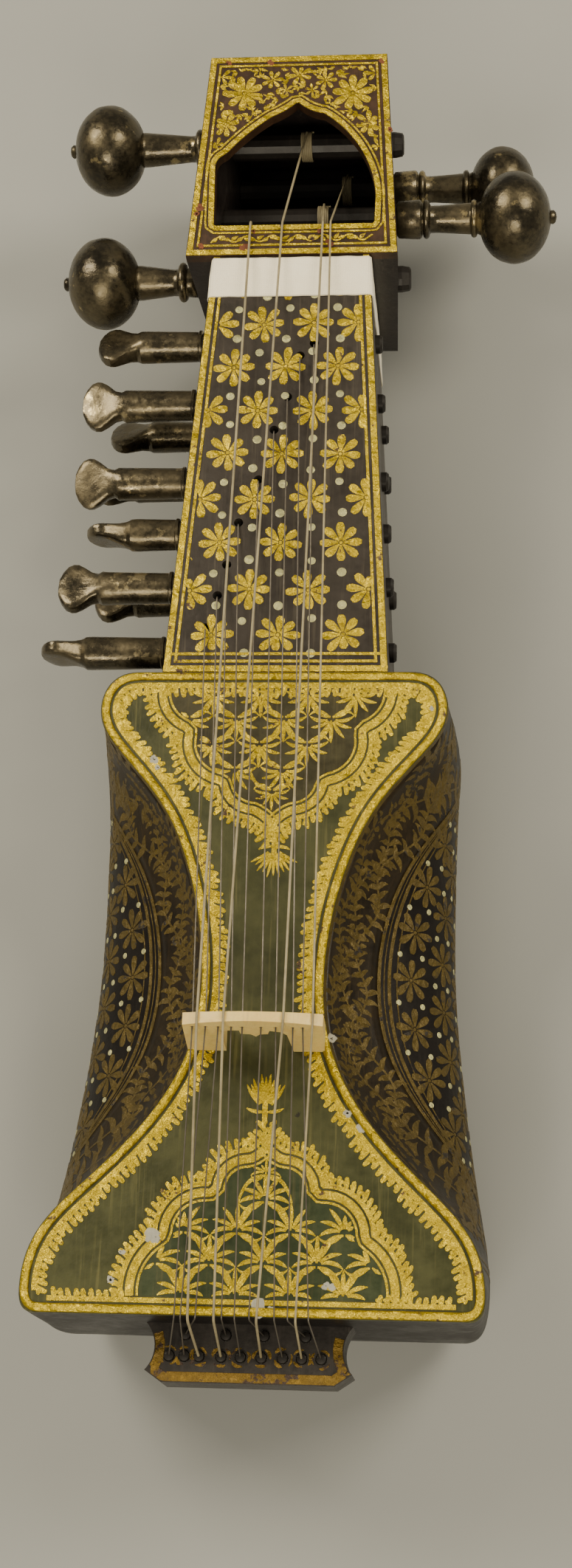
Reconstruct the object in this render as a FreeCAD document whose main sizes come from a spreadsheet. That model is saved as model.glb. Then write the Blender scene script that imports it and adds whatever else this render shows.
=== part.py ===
import FreeCAD, Part
import math
import os

from FreeCAD import Placement, Rotation, Vector

# A small sarangi: a bowed Indian fiddle with a waisted, hollow body, a hollow neck, a
# windowed pegbox, four gut strings and nine sympathetic wires. Millimetres. The
# instrument lies on its back: +Z out of the belly, +Y from the foot to the head, +X to
# the right of someone facing the belly. The origin is on the flat back.

DOC = FreeCAD.newDocument("Sarangi")
SHEET = DOC.addObject("Spreadsheet::Sheet", "Sizes")

SIZES = [
    ("front_level", 88.0, "height of the belly and the neck face over the back"),
    ("skin_thick", 1.2, "painted skin of the belly"),
    ("rim_height", 1.0, "raised moulding round the belly"),
    ("rim_width", 2.6, ""),
    ("foot_end", -106.0, "Y of the body's foot end"),
    ("body_top", 93.0, "Y where the shoulders meet the neck"),
    ("body_wall", 7.0, ""),
    ("body_floor", 8.0, ""),
    ("neck_top", 243.0, "Y where the neck meets the pegbox"),
    ("neck_back", 26.0, "height of the neck's back"),
    ("neck_half_low", 35.5, "half width at the shoulders"),
    ("neck_half_high", 26.2, "half width at the pegbox"),
    ("neck_wall", 6.0, ""),
    ("neck_face", 5.0, "front wall of the neck"),
    ("head_end", 321.5, "Y of the top of the pegbox"),
    ("head_back", 24.0, "height of the pegbox's back"),
    ("head_half_low", 35.6, ""),
    ("head_half_high", 30.5, ""),
    ("head_back_inset", 3.0, "the side walls lean in towards the back"),
    ("head_wall", 6.0, ""),
    ("plate_thick", 4.0, "front plate of the pegbox"),
    ("plate_level", 89.0, "its face"),
    ("sill_depth", 11.5, "strip under the window that the strings bend over"),
    ("tail_top", 71.0, "top of the string block at the foot"),
    ("tail_thick", 14.0, ""),
    ("tail_reach", 17.0, "how far it stands out of the foot end"),
    ("tail_hole", 1.75, "radius of its string holes"),
    ("bridge_line", -24.4, "Y of the bridge"),
    ("bridge_foot", 8.0, "thickness of its feet"),
    ("bridge_edge", 2.7, "thickness of its top edge"),
    ("bridge_crown", 114.5, "level of the top of its arch"),
    ("bridge_half", 20.4, "half width of its top"),
    ("bridge_drop", 3.8, "how far its top falls from the middle to the ends"),
    ("wire_level", 109.0, "level of its wire holes"),
    ("shaft_radius", 4.5, "main peg in the pegbox"),
    ("stem_radius", 5.4, "main peg outside the wall"),
    ("collar_radius", 6.9, ""),
    ("knob_axial", 13.0, "half length of a knob along its peg"),
    ("knob_radius", 16.0, ""),
    ("spigot_radius", 3.6, "end of the peg inside its knob"),
    ("running_gap", 0.05, "radial clearance of a peg in its hole"),
    ("shoulder_gap", 0.3, "between a peg's shoulder and the wall"),
    ("small_shaft", 3.3, "radius of a sympathetic peg in the neck"),
    ("small_stem", 5.7, "radius outside the wall"),
    ("small_head", 8.7, "radius of its thumb piece"),
    ("small_thick", 3.7, "half thickness of its thumb piece"),
    ("peg_tip", 2.0, "how far a peg shows past the far wall"),
    ("front_row", 68.0, "level of the front row of sympathetic pegs"),
    ("rear_row", 43.0, "level of the rear row"),
    ("wire_radius", 0.22, ""),
    ("band_thick", 0.8, "cloth band round the neck"),
    ("band_low", 227.3, ""),
    ("band_high", 242.4, ""),
]

for row, (alias, value, note) in enumerate(SIZES, 1):
    SHEET.set(f"A{row}", alias)
    SHEET.set(f"B{row}", str(value))
    SHEET.setAlias(f"B{row}", alias)
    SHEET.set(f"C{row}", note)
DOC.recompute()

NODES = []
HALF_TURN_X = Rotation(Vector(0, 1, 0), 90)


def size(alias):
    return float(SHEET.get(alias))


def add(kind, name, **bindings):
    """An object whose properties are bound to expressions on the sheet's cells."""
    item = DOC.addObject(kind, name)
    for name_of_property, expression in bindings.items():
        item.setExpression(name_of_property.replace("__", "."), expression)
    return item


def keep(item, label):
    """Mark an object as one of the instrument's pieces."""
    item.Label = label
    NODES.append(item)
    return item


def feature(name, shape):
    item = DOC.addObject("Part::Feature", name)
    item.Shape = shape
    return item


def fuse(name, items):
    item = DOC.addObject("Part::MultiFuse", name)
    item.Shapes = items
    return item


def cut(name, base, tool):
    item = DOC.addObject("Part::Cut", name)
    item.Base = base
    item.Tool = tool
    return item


def common(name, base, tool):
    item = DOC.addObject("Part::Common", name)
    item.Base = base
    item.Tool = tool
    return item


def cross_hole(name, radius, along_y, level, side=None, reach=60.0):
    """A cylinder along X: through both walls, or from the middle out to one side."""
    hole = add("Part::Cylinder", name, Radius=radius)
    hole.Height = reach * 2 if side is None else reach
    start = -reach if side in (None, -1) else 0.0
    hole.Placement = Placement(Vector(start, along_y, level), HALF_TURN_X)
    return hole


# ---- body: a waisted front that flares out to a nearly straight back ----

# (Y, half width at the front, half width at the back)
STATIONS = [
    (-104.6, 66.0, 65.0),
    (-98.0, 67.3, 67.6),
    (-83.5, 63.7, 67.6),
    (-67.0, 49.5, 65.0),
    (-46.0, 30.7, 61.8),
    (-26.0, 20.9, 59.2),
    (3.0, 19.0, 56.6),
    (29.0, 24.3, 56.2),
    (48.0, 32.7, 56.4),
    (65.0, 46.2, 56.9),
    (79.0, 54.2, 57.2),
    (88.4, 52.2, 54.6),
]
FOOT_CORNER = 61.0
SHOULDER_CORNER = 43.5
# (height, how far the flank has flared from the front outline to the back one, inset)
LEVELS = [
    (86.8, 0.0, 0.0),
    (81.0, 0.08, 0.0),
    (75.0, 0.23, 0.0),
    (69.0, 0.45, 0.0),
    (62.0, 0.70, 0.0),
    (54.0, 0.90, 0.0),
    (45.0, 0.99, 0.0),
    (34.0, 1.0, 0.6),
    (20.0, 1.0, 2.4),
    (8.0, 1.0, 5.6),
    (0.0, 1.0, 11.0),
]


def drawn_in(curve, point, distance):
    """A point of the outline's right side, moved inwards, square to the edge."""
    along = curve.tangent(curve.parameter(point))[0]
    return point + Vector(-along.y, along.x, 0) * distance


def body_outline(height, flare, inset, wall=0.0, border=0.0):
    """Closed outline of the body at one height, drawn in by inset, wall and border."""
    foot = size("foot_end") + inset + wall
    top = size("body_top") - 0.4 * inset - wall
    stretch = (top - foot) / (size("body_top") - size("foot_end"))
    side = [Vector(FOOT_CORNER - inset - wall, foot, height)]
    for station, front, back in STATIONS:
        half = front + (back - front) * flare - inset - wall
        along = foot + (station - size("foot_end")) * stretch
        side.append(Vector(half, along, height))
    corner = SHOULDER_CORNER + 4.0 * flare - inset - wall
    side.append(Vector(corner, top, height))
    right = Part.BSplineCurve()
    right.interpolate(side)
    if border:
        side = [drawn_in(right, point, border) for point in side]
        right.interpolate(side)
    left = Part.BSplineCurve()
    left.interpolate([Vector(-p.x, p.y, p.z) for p in reversed(side)])
    foot_edge = Part.LineSegment(left.EndPoint, right.StartPoint)
    top_edge = Part.LineSegment(right.EndPoint, left.StartPoint)
    edges = [foot_edge, right, top_edge, left]
    return Part.Wire([edge.toShape() for edge in edges])


def body_loft(name, wall, floor):
    """A smooth solid through the body's outlines, from its floor to its front."""
    sections = []
    for number, (height, flare, inset) in enumerate(LEVELS):
        if floor and height <= floor + 2.0:
            continue
        outline = body_outline(height, flare, inset, wall)
        sections.append(feature(f"{name}_outline_{number}", outline))
    if floor:
        height, flare, inset = LEVELS[-3]
        lowest = body_outline(floor, flare, inset + 5.0, wall)
        sections.append(feature(f"{name}_outline_floor", lowest))
    loft = DOC.addObject("Part::Loft", name)
    loft.Sections = sections
    loft.Solid = True
    loft.Ruled = False
    return loft


def belly_outline(level, border=0.0):
    return body_outline(level, 0.0, 0.0, 0.0, border)


def frame_face(outside, window):
    """One flat face between two closed outlines."""
    return Part.Face(outside).cut(Part.Face(window)).Faces[0]


def plate(name, face, thickness):
    """A flat piece pushed up from a face by a thickness on the sheet."""
    source = feature(f"{name}_face", face)
    item = add("Part::Extrusion", name, LengthFwd=thickness)
    item.Base = source
    item.DirMode = "Custom"
    item.Dir = Vector(0, 0, 1)
    item.Solid = True
    return item


def build_body():
    hull = body_loft("hull", 0.0, 0.0)
    cavity = body_loft("cavity", size("body_wall"), size("body_floor"))
    shell = cut("body_shell_solid", hull, cavity)
    floor = size("body_floor")
    reach = 120.0
    # the back plate, and the wall in a left and a right half
    regions = {
        "body_back": (-reach, 0.0, 2 * reach, floor),
        "body_left": (-reach, floor, reach, reach),
        "body_right": (0.0, floor, reach, reach),
    }
    for name, (start, base, wide, tall) in regions.items():
        region = add("Part::Box", f"region_{name}")
        region.Length = wide
        region.Width = 2 * reach
        region.Height = tall
        region.Placement = Placement(Vector(start, -reach, base), Rotation())
        keep(common(f"{name}_solid", shell, region), name)
    skin_base = size("front_level") - size("skin_thick")
    skin = plate("skin", Part.Face(belly_outline(skin_base)), "Sizes.skin_thick")
    keep(skin, "belly_skin")
    top = size("front_level")
    ring = frame_face(belly_outline(top), belly_outline(top, size("rim_width")))
    keep(plate("rim", ring, "Sizes.rim_height"), "belly_rim")


# ---- string block at the foot ----

# X of the nine holes along the block's edge, and of the four behind them
EDGE_HOLES = [-24.9, -20.4, -16.1, -9.6, -3.9, 2.2, 8.4, 14.0, 19.7]
BACK_HOLES = [-20.3, -8.4, 2.8, 15.0]
EDGE_HOLE_LINE = -115.4
BACK_HOLE_LINE = -109.2


def tail_outline(level):
    """A shelf with ogee ends, flat against the foot of the body."""
    root = size("foot_end")
    tip = root - size("tail_reach")
    middle = -1.6
    wide = 30.4
    waist = 27.8
    right = [
        Vector(middle + wide, root, level),
        Vector(middle + waist, root - 5.5, level),
        Vector(middle + wide, tip + 3.4, level),
        Vector(middle + wide - 5.0, tip, level),
    ]
    left = [Vector(2 * middle - p.x, p.y, level) for p in right]
    edges = []
    for side in (right, left):
        hollow = Part.Arc(side[0], side[1], side[2]).toShape()
        corner = Part.LineSegment(side[2], side[3]).toShape()
        edges += [hollow, corner]
    edges.append(Part.LineSegment(right[3], left[3]).toShape())
    edges.append(Part.LineSegment(right[0], left[0]).toShape())
    return Part.Wire(Part.__sortEdges__(edges))


def build_tail():
    base = size("tail_top") - size("tail_thick")
    shelf = plate("shelf", Part.Face(tail_outline(base)), "Sizes.tail_thick")
    spots = [(x, EDGE_HOLE_LINE) for x in EDGE_HOLES]
    spots += [(x, BACK_HOLE_LINE) for x in BACK_HOLES]
    holes = []
    for number, (x, y) in enumerate(spots):
        hole = add("Part::Cylinder", f"tail_hole_{number}", Radius="Sizes.tail_hole")
        hole.Height = size("tail_thick") + 4.0
        hole.Placement = Placement(Vector(x, y, base - 2.0), Rotation())
        holes.append(hole)
    keep(cut("tail_block_solid", shelf, fuse("tail_holes", holes)), "tail_block")


# ---- neck and pegbox ----

# sympathetic pegs from the shoulders up:
# (Y, True in the rear row, middle of the thumb piece from X = 0, turn of the thumb piece)
SMALL_PEGS = [
    (107.8, False, 70.0, 84.0),
    (130.8, False, 66.2, 8.0),
    (150.0, False, 57.6, 80.0),
    (137.3, True, 58.4, 20.0),
    (168.9, False, 63.1, -16.0),
    (180.3, True, 60.7, 28.0),
    (197.9, False, 62.3, -6.0),
    (199.4, True, 56.6, 35.0),
    (220.4, False, 58.2, 24.0),
]
# where each sympathetic wire goes through the neck's face, in the order of the pegs
FACE_HOLES = [
    (-22.6, 108.2),
    (-19.3, 119.3),
    (-16.8, 130.0),
    (-13.6, 144.8),
    (-7.8, 160.1),
    (-3.4, 178.0),
    (0.6, 190.0),
    (4.2, 205.2),
    (8.7, 209.8),
]
FACE_HOLE_RADIUS = 1.5


def neck_half(along):
    """Half width of the neck at a Y."""
    share = (along - size("body_top")) / (size("neck_top") - size("body_top"))
    return size("neck_half_low") + (size("neck_half_high") - size("neck_half_low")) * share


def head_half(along, level):
    """Half width of the pegbox at a Y and a height."""
    share = (along - size("neck_top")) / (size("head_end") - size("neck_top"))
    front = size("head_half_low") + (size("head_half_high") - size("head_half_low")) * share
    depth = (size("front_level") - level) / (size("front_level") - size("head_back"))
    return front - size("head_back_inset") * depth


def row_level(rear):
    return size("rear_row") if rear else size("front_row")


def build_neck():
    block = add(
        "Part::Wedge", "neck_block",
        Ymin="Sizes.body_top", Ymax="Sizes.neck_top",
        Xmin="-Sizes.neck_half_low", Xmax="Sizes.neck_half_low",
        X2min="-Sizes.neck_half_high", X2max="Sizes.neck_half_high",
        Zmin="Sizes.neck_back", Zmax="Sizes.front_level",
        Z2min="Sizes.neck_back", Z2max="Sizes.front_level",
    )
    # the hollow is open at the back, where the wires are reached, and into the pegbox
    inner_low = "Sizes.neck_half_low - Sizes.neck_wall"
    inner_high = "Sizes.neck_half_high - Sizes.neck_wall"
    hollow = add(
        "Part::Wedge", "neck_hollow",
        Ymin="Sizes.body_top + Sizes.neck_wall", Ymax="Sizes.neck_top",
        Xmin=f"-({inner_low})", Xmax=inner_low,
        X2min=f"-({inner_high})", X2max=inner_high,
        Zmin="Sizes.neck_back - 1", Zmax="Sizes.front_level - Sizes.neck_face",
        Z2min="Sizes.neck_back - 1", Z2max="Sizes.front_level - Sizes.neck_face",
    )
    tools = [hollow]
    for number, (along, rear, _, _) in enumerate(SMALL_PEGS, 1):
        radius = "Sizes.small_shaft + Sizes.running_gap"
        tools.append(cross_hole(f"neck_bore_{number}", radius, along, row_level(rear)))
    for number, (x, y) in enumerate(FACE_HOLES, 1):
        hole = add("Part::Cylinder", f"face_hole_{number}")
        hole.Radius = FACE_HOLE_RADIUS
        hole.Height = size("neck_face") * 3
        start = size("front_level") - size("neck_face") * 2
        hole.Placement = Placement(Vector(x, y, start), Rotation())
        tools.append(hole)
    keep(cut("neck_solid", block, fuse("neck_tools", tools)), "neck_shell")
    build_band()


def build_band():
    """The cloth band: a thin sleeve round the neck, just under the pegbox."""
    low = size("band_low")
    high = size("band_high")
    back = size("neck_back")
    front = size("front_level")
    thick = size("band_thick")
    wedges = []
    for name, grow in (("band_outer", thick), ("band_inner", 0.0)):
        wedge = DOC.addObject("Part::Wedge", name)
        wedge.Ymin = low
        wedge.Ymax = high
        wedge.Xmin = -neck_half(low) - grow
        wedge.Xmax = neck_half(low) + grow
        wedge.X2min = -neck_half(high) - grow
        wedge.X2max = neck_half(high) + grow
        wedge.Zmin = back - grow
        wedge.Z2min = back - grow
        wedge.Zmax = front + grow
        wedge.Z2max = front + grow
        wedges.append(wedge)
    keep(cut("band_solid", wedges[0], wedges[1]), "neck_band")


# main pegs: (name, side, Y, height, middle of the knob from X = 0, knob scale,
#             True where the shaft shows past the far wall)
MAIN_PEGS = [
    ("left_low", -1, 248.6, 63.0, 66.8, 1.0, True),
    ("left_high", -1, 302.5, 63.0, 67.8, 1.0, True),
    ("right_low", 1, 272.1, 63.0, 73.5, 1.0, False),
    ("right_high", 1, 297.3, 43.0, 69.0, 0.92, False),
]


PASSAGE_HALF = 19.5


def window_outline(level):
    """The ogee window of the pegbox's front plate."""
    sill = size("neck_top") + size("sill_depth")
    spots = {
        "sill_left": (-26.4, sill),
        "sill_right": (27.4, sill),
        "left_spring": (-26.9, 277.0),
        "left_cusp": (-23.4, 282.6),
        "left_haunch": (-8.4, 296.9),
        "right_spring": (27.6, 265.5),
        "right_haunch": (9.4, 297.9),
        "apex": (0.3, 302.7),
    }
    at = {name: Vector(x, y, level) for name, (x, y) in spots.items()}
    edges = [
        Part.LineSegment(at["sill_left"], at["sill_right"]),
        Part.LineSegment(at["sill_right"], at["right_spring"]),
        Part.Arc(at["right_spring"], Vector(22.2, 283.6, level), at["right_haunch"]),
        Part.Arc(at["right_haunch"], Vector(4.2, 299.7, level), at["apex"]),
        Part.Arc(at["apex"], Vector(-3.4, 299.7, level), at["left_haunch"]),
        Part.Arc(at["left_haunch"], Vector(-17.4, 289.3, level), at["left_cusp"]),
        Part.Arc(at["left_cusp"], Vector(-26.1, 280.4, level), at["left_spring"]),
        Part.LineSegment(at["left_spring"], at["sill_left"]),
    ]
    return Part.Wire([edge.toShape() for edge in edges])


def head_outline(level, margin=0.0):
    """Outline of the pegbox at one height."""
    corners = []
    for side, along in ((-1, "neck_top"), (1, "neck_top"), (1, "head_end"), (-1, "head_end")):
        y = size(along)
        inward = margin if along == "neck_top" else -margin
        half = head_half(y, level) - margin
        corners.append(Vector(side * half, y + inward, level))
    return Part.makePolygon(corners + corners[:1])


def build_head():
    plate_base = size("plate_level") - size("plate_thick")
    back = size("head_back")
    wall = size("head_wall")
    outer = Part.makeLoft([head_outline(back), head_outline(plate_base)], True, True)
    inside = [head_outline(back + wall, wall), head_outline(plate_base, wall)]
    inner = Part.makeLoft(inside, True, True)
    box = cut("head_hollowed", feature("head_block", outer), feature("head_hollow", inner))
    # the neck's hollow opens into the pegbox, beside the lowest main peg
    passage = add("Part::Box", "passage", Width="Sizes.head_wall + 2")
    passage.Length = 2 * PASSAGE_HALF
    passage.Height = size("front_level") - size("neck_face") - back - wall
    start = Vector(-PASSAGE_HALF, size("neck_top") - 1.0, back + wall)
    passage.Placement = Placement(start, Rotation())
    bores = [passage]
    for name, side, along, level, _, _, through in MAIN_PEGS:
        radius = "Sizes.shaft_radius + Sizes.running_gap"
        if through:
            bores.append(cross_hole(f"bore_{name}", radius, along, level))
            continue
        bores.append(cross_hole(f"bore_{name}", radius, along, level, side))
        reach = head_half(along, level) - wall / 2
        bores.append(cross_hole(f"seat_{name}", radius, along, level, -side, reach))
        if side > 0:
            bores[-1].Placement.Base = Vector(-reach, along, level)
    keep(cut("head_solid", box, fuse("head_bores", bores)), "pegbox_shell")
    face = frame_face(head_outline(plate_base), window_outline(plate_base))
    keep(plate("front_plate", face, "Sizes.plate_thick"), "pegbox_front")


# ---- pegs ----


def stack(name, pieces):
    """Cylinders and cones end to end on one axis: (start, length, radius, end radius)."""
    items = []
    for number, (start, length, radius, end_radius) in enumerate(pieces):
        if radius == end_radius:
            item = DOC.addObject("Part::Cylinder", f"{name}_{number}")
            item.setExpression("Radius", radius)
        else:
            item = DOC.addObject("Part::Cone", f"{name}_{number}")
            item.setExpression("Radius1", radius)
            item.setExpression("Radius2", end_radius)
        item.Height = length
        item.Placement = Placement(Vector(0, 0, start), Rotation())
        items.append(item)
    return items


def build_main_pegs():
    """Turned pegs, each with a metal knob, and the turns of string on them."""
    for name, side, along, level, knob_at, scale, through in MAIN_PEGS:
        collar_radius = size("collar_radius")
        wall = head_half(along - collar_radius, level + collar_radius)
        shoulder = wall + size("shoulder_gap")
        blind = head_half(along, level) - size("head_wall") / 2 - 0.4
        far = wall + 2 * size("peg_tip") if through else blind
        axial = size("knob_axial") * scale
        seat = knob_at - axial
        shaft = "Sizes.shaft_radius"
        stem = "Sizes.stem_radius"
        collar = "Sizes.collar_radius"
        spigot = "Sizes.spigot_radius"
        overlap = 0.5
        pieces = [
            (-far, far + shoulder + overlap, shaft, shaft),
            (shoulder, 3.0, stem, stem),
            (shoulder + 2.6, 2.6, collar, collar),
            (shoulder + 4.8, seat - shoulder - 3.6, stem, f"{stem} + 0.9"),
            (seat, axial, spigot, spigot),
        ]
        turn = Rotation(Vector(0, 1, 0), 90 * side)
        spot = Vector(0, along, level)
        peg = fuse(f"peg_{name}", stack(f"turned_{name}", pieces))
        peg.Placement = Placement(spot, turn)
        keep(peg, f"main_peg_{name}")
        knob = build_knob(name, knob_at, axial, size("knob_radius") * scale, seat)
        knob.Placement = Placement(spot, turn)
        keep(knob, f"main_knob_{name}")
        build_winding(name, along, level)


def build_knob(name, middle, axial, radius, seat):
    """A flattened ball with a button on its end, bored for the peg's spigot."""
    ball = DOC.addObject("Part::Ellipsoid", f"ball_{name}")
    ball.Radius1 = axial
    ball.Radius2 = radius
    ball.Radius3 = radius
    ball.Angle1 = -90
    ball.Angle2 = 90
    ball.Placement = Placement(Vector(0, 0, middle), Rotation())
    button = DOC.addObject("Part::Sphere", f"button_{name}")
    button.Radius = 2.4
    button.Placement = Placement(Vector(0, 0, middle + axial - 0.4), Rotation())
    # the stem ends inside the ball's flank, so the ball is cleared for both
    stem_end = size("stem_radius") + 0.9
    bore = stack(f"socket_{name}", [
        (seat - 1.0, axial + 1.0, "Sizes.spigot_radius", "Sizes.spigot_radius"),
        (seat - 1.0, 2.2, f"{stem_end}", f"{stem_end}"),
    ])
    return cut(f"knob_{name}", fuse(f"cap_{name}", [ball, button]), fuse(f"socket_{name}", bore))


# X of the middle of each winding, and the radius of each main string
WINDINGS = {"left_low": -14.0, "left_high": 1.6, "right_low": 8.4, "right_high": 14.6}
STRING_RADII = {"left_low": 0.4, "left_high": 0.38, "right_low": 0.38, "right_high": 0.33}
TURNS = 6


def build_winding(name, along, level):
    """The turns of string on a main peg, as one sleeve."""
    string = STRING_RADII[name]
    width = TURNS * 2 * string
    start = WINDINGS[name] - width / 2
    sleeve = []
    for part, radius in (("outer", f"Sizes.shaft_radius + {2 * string}"),
                         ("inner", "Sizes.shaft_radius")):
        item = add("Part::Cylinder", f"turns_{part}_{name}", Radius=radius)
        item.Height = width
        sleeve.append(item)
    item = cut(f"turns_{name}", sleeve[0], sleeve[1])
    item.Placement = Placement(Vector(start, along, level), HALF_TURN_X)
    keep(item, f"main_winding_{name}")


def build_small_pegs():
    """Nine sympathetic pegs on the left of the neck, each with a flat thumb piece."""
    for number, (along, rear, head_at, twist) in enumerate(SMALL_PEGS, 1):
        widest = neck_half(along - size("small_stem"))
        shoulder = widest + size("shoulder_gap")
        far = widest + size("peg_tip")
        shaft = "Sizes.small_shaft"
        stem = "Sizes.small_stem"
        neck_end = head_at - 4.0
        pieces = [
            (-far, far + shoulder + 0.5, shaft, shaft),
            (shoulder, 3.2, f"{stem} + 0.5", f"{stem} + 0.5"),
            (shoulder + 3.0, neck_end - shoulder - 8.0, stem, stem),
            (neck_end - 5.2, 5.2, stem, f"{stem} - 2.6"),
        ]
        thumb = add(
            "Part::Ellipsoid", f"thumb_{number}",
            Radius1="Sizes.small_head", Radius2="Sizes.small_head", Radius3="Sizes.small_thick",
        )
        thumb.Angle1 = -90
        thumb.Angle2 = 90
        thumb.Placement = Placement(Vector(0, 0, head_at), Rotation(Vector(0, 0, 1), twist + 90))
        items = stack(f"small_{number}", pieces) + [thumb]
        peg = fuse(f"small_peg_{number}", items)
        spot = Vector(0, along, row_level(rear))
        peg.Placement = Placement(spot, Rotation(Vector(0, 1, 0), -90))
        keep(peg, f"sympathetic_peg_{number}")


# ---- bridge ----


def bridge_top(x):
    """Level of the bridge's arched top at an X."""
    return size("bridge_crown") - size("bridge_drop") * (x / size("bridge_half")) ** 2


def bridge_profile():
    """Seen along the strings: two feet, an arch between them with a small drop."""
    base = size("front_level")
    left, right = -21.4, 19.4
    inner_left, inner_right = -9.9, 10.2
    arch = base + 17.6
    half = size("bridge_half")
    crown = Part.Arc(
        Vector(-half, 0, bridge_top(half)),
        Vector(0, 0, size("bridge_crown")),
        Vector(half, 0, bridge_top(half)),
    )
    points = [
        (half, bridge_top(half)),
        (right, base),
        (inner_right, base),
        (inner_right - 0.8, arch - 3.0),
        (inner_right - 2.2, arch - 0.6),
        (4.6, arch + 0.6),
        (3.9, arch - 2.2),
        (1.5, arch - 2.6),
        (0.2, arch - 4.6),
        (-1.1, arch - 2.6),
        (-4.1, arch - 2.2),
        (-4.3, arch + 0.6),
        (inner_left + 0.2, arch + 0.3),
        (inner_left, base),
        (left, base),
        (-half, bridge_top(half)),
    ]
    outline = Part.makePolygon([Vector(x, 0, z) for x, z in points])
    return Part.Wire([crown.toShape()] + outline.Edges)


def build_bridge():
    half = size("bridge_foot") / 2
    face = Part.Face(bridge_profile())
    slab = feature("bridge_slab", face.extrude(Vector(0, 2 * half, 0)))
    slab.Placement = Placement(Vector(0, size("bridge_line") - half, 0), Rotation())
    edge = size("bridge_edge") / 2
    middle = size("bridge_line")
    low = size("front_level") - 1.0
    high = size("bridge_crown") + 1.0
    # thick feet under a thin top edge
    sides = [
        Vector(-40, middle - half, low),
        Vector(-40, middle + half, low),
        Vector(-40, middle + edge, high),
        Vector(-40, middle - edge, high),
    ]
    taper = Part.Face(Part.makePolygon(sides + sides[:1])).extrude(Vector(80, 0, 0))
    shaped = DOC.addObject("Part::Common", "bridge_shaped")
    shaped.Base = slab
    shaped.Tool = feature("bridge_taper", taper)
    holes = []
    for number, x in enumerate(WIRE_SLOTS, 1):
        hole = DOC.addObject("Part::Cylinder", f"wire_hole_{number}")
        hole.Radius = WIRE_HOLE_RADIUS
        hole.Height = 20.0
        spot = Vector(x, middle + 10.0, size("wire_level"))
        hole.Placement = Placement(spot, Rotation(Vector(1, 0, 0), 90))
        holes.append(hole)
    # the feet are cut to fit over the moulding
    tools = fuse("bridge_tools", holes + [DOC.getObject("rim")])
    keep(cut("bridge_solid", shaped, tools), "bridge")


# ---- strings: straight runs joined by tangent arcs ----

# main strings: (peg, X in the tail block, X at the foot edge, X on the bridge, X at the sill)
MAIN_STRINGS = [
    ("left_low", -16.1, -17.4, -15.9, -14.0),
    ("left_high", -9.6, -9.9, -8.0, -3.3),
    ("right_low", 2.2, 2.3, 9.3, 10.3),
    ("right_high", 14.0, 13.5, 17.6, 12.9),
]
# sympathetic wires from left to right: X of the bridge hole, the foot edge, the tail hole
WIRE_SLOTS = [-17.6, -13.7, -10.0, -6.3, -3.1, 2.4, 6.6, 11.6, 14.4]
WIRE_HOLE_RADIUS = 0.65
WIRE_FEET = [-21.4, -19.6, -15.3, -7.7, -4.0, 0.2, 7.4, 11.2, 17.2]
WIRE_TAILS = [
    (-24.9, EDGE_HOLE_LINE),
    (-20.4, EDGE_HOLE_LINE),
    (-20.3, BACK_HOLE_LINE),
    (-8.4, BACK_HOLE_LINE),
    (-3.9, EDGE_HOLE_LINE),
    (2.8, BACK_HOLE_LINE),
    (8.4, EDGE_HOLE_LINE),
    (15.0, BACK_HOLE_LINE),
    (19.7, EDGE_HOLE_LINE),
]


def route(points, bends):
    """A wire of straight runs, with an arc of the given radius at each inner point."""
    edges = []
    start = points[0]
    for before, corner, after, radius in zip(points, points[1:], points[2:], bends):
        into = (corner - before).normalize()
        out = (after - corner).normalize()
        half_turn = into.getAngle(out) / 2
        back = radius * math.tan(half_turn)
        enter = corner - into * back
        leave = corner + out * back
        inside = (out - into).normalize()
        middle = corner + inside * (radius / math.cos(half_turn) - radius)
        edges.append(Part.LineSegment(start, enter).toShape())
        edges.append(Part.Arc(enter, middle, leave).toShape())
        start = leave
    edges.append(Part.LineSegment(start, points[-1]).toShape())
    return Part.Wire(edges)


def tube(name, points, bends, radius):
    """A round string along a route, checked against its section times its length."""
    path = route(points, bends)
    first = points[1] - points[0]
    ring = Part.Wire(Part.Circle(points[0], first, radius).toShape())
    solid = path.makePipeShell([ring], True, False)
    expected = math.pi * radius ** 2 * path.Length
    print(f"{name}: bends {bends}, volume / expected {solid.Volume / expected:.4f}")
    return solid


def build_main_strings():
    pegs = {name: (along, level) for name, _, along, level, _, _, _ in MAIN_PEGS}
    sill = size("neck_top") + size("sill_depth")
    block_base = size("tail_top") - size("tail_thick")
    for number, (name, tail, foot, crown, sill_x) in enumerate(MAIN_STRINGS, 1):
        radius = STRING_RADII[name]
        along, level = pegs[name]
        edge_level = size("front_level") + size("rim_height") + radius
        turn_radius = size("shaft_radius") + 3 * radius + 0.15
        # the lowest peg's string drops straight off the sill
        overhang = radius + 0.9 if name == "left_low" else 0.4
        sill_point = Vector(sill_x, sill + overhang, size("plate_level") + radius + 0.35)
        end, tangent = peg_end(sill_point, along, level, turn_radius, WINDINGS[name], name)
        bridge_point = Vector(crown, size("bridge_line"), bridge_top(crown) + radius + 0.4)
        points = [
            Vector(tail, EDGE_HOLE_LINE, block_base - 2.2),
            Vector(tail, EDGE_HOLE_LINE, size("tail_top") + 0.8),
            Vector(foot, size("foot_end") - 1.6, edge_level + 1.2),
            bridge_point,
            sill_point,
        ]
        bends = [3.0, 3.0, 5.0]
        if tangent is not None:
            points.append(tangent)
            bends.append(1.6)
        points.append(end)
        bends.append(1.8)
        string = tube(f"main string {number}", points, bends, radius)
        knot = Part.makeSphere(radius * 3.2, points[0])
        keep(feature(f"gut_{number}", string.fuse(knot).removeSplitter()),
             f"main_string_{number}")


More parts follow.
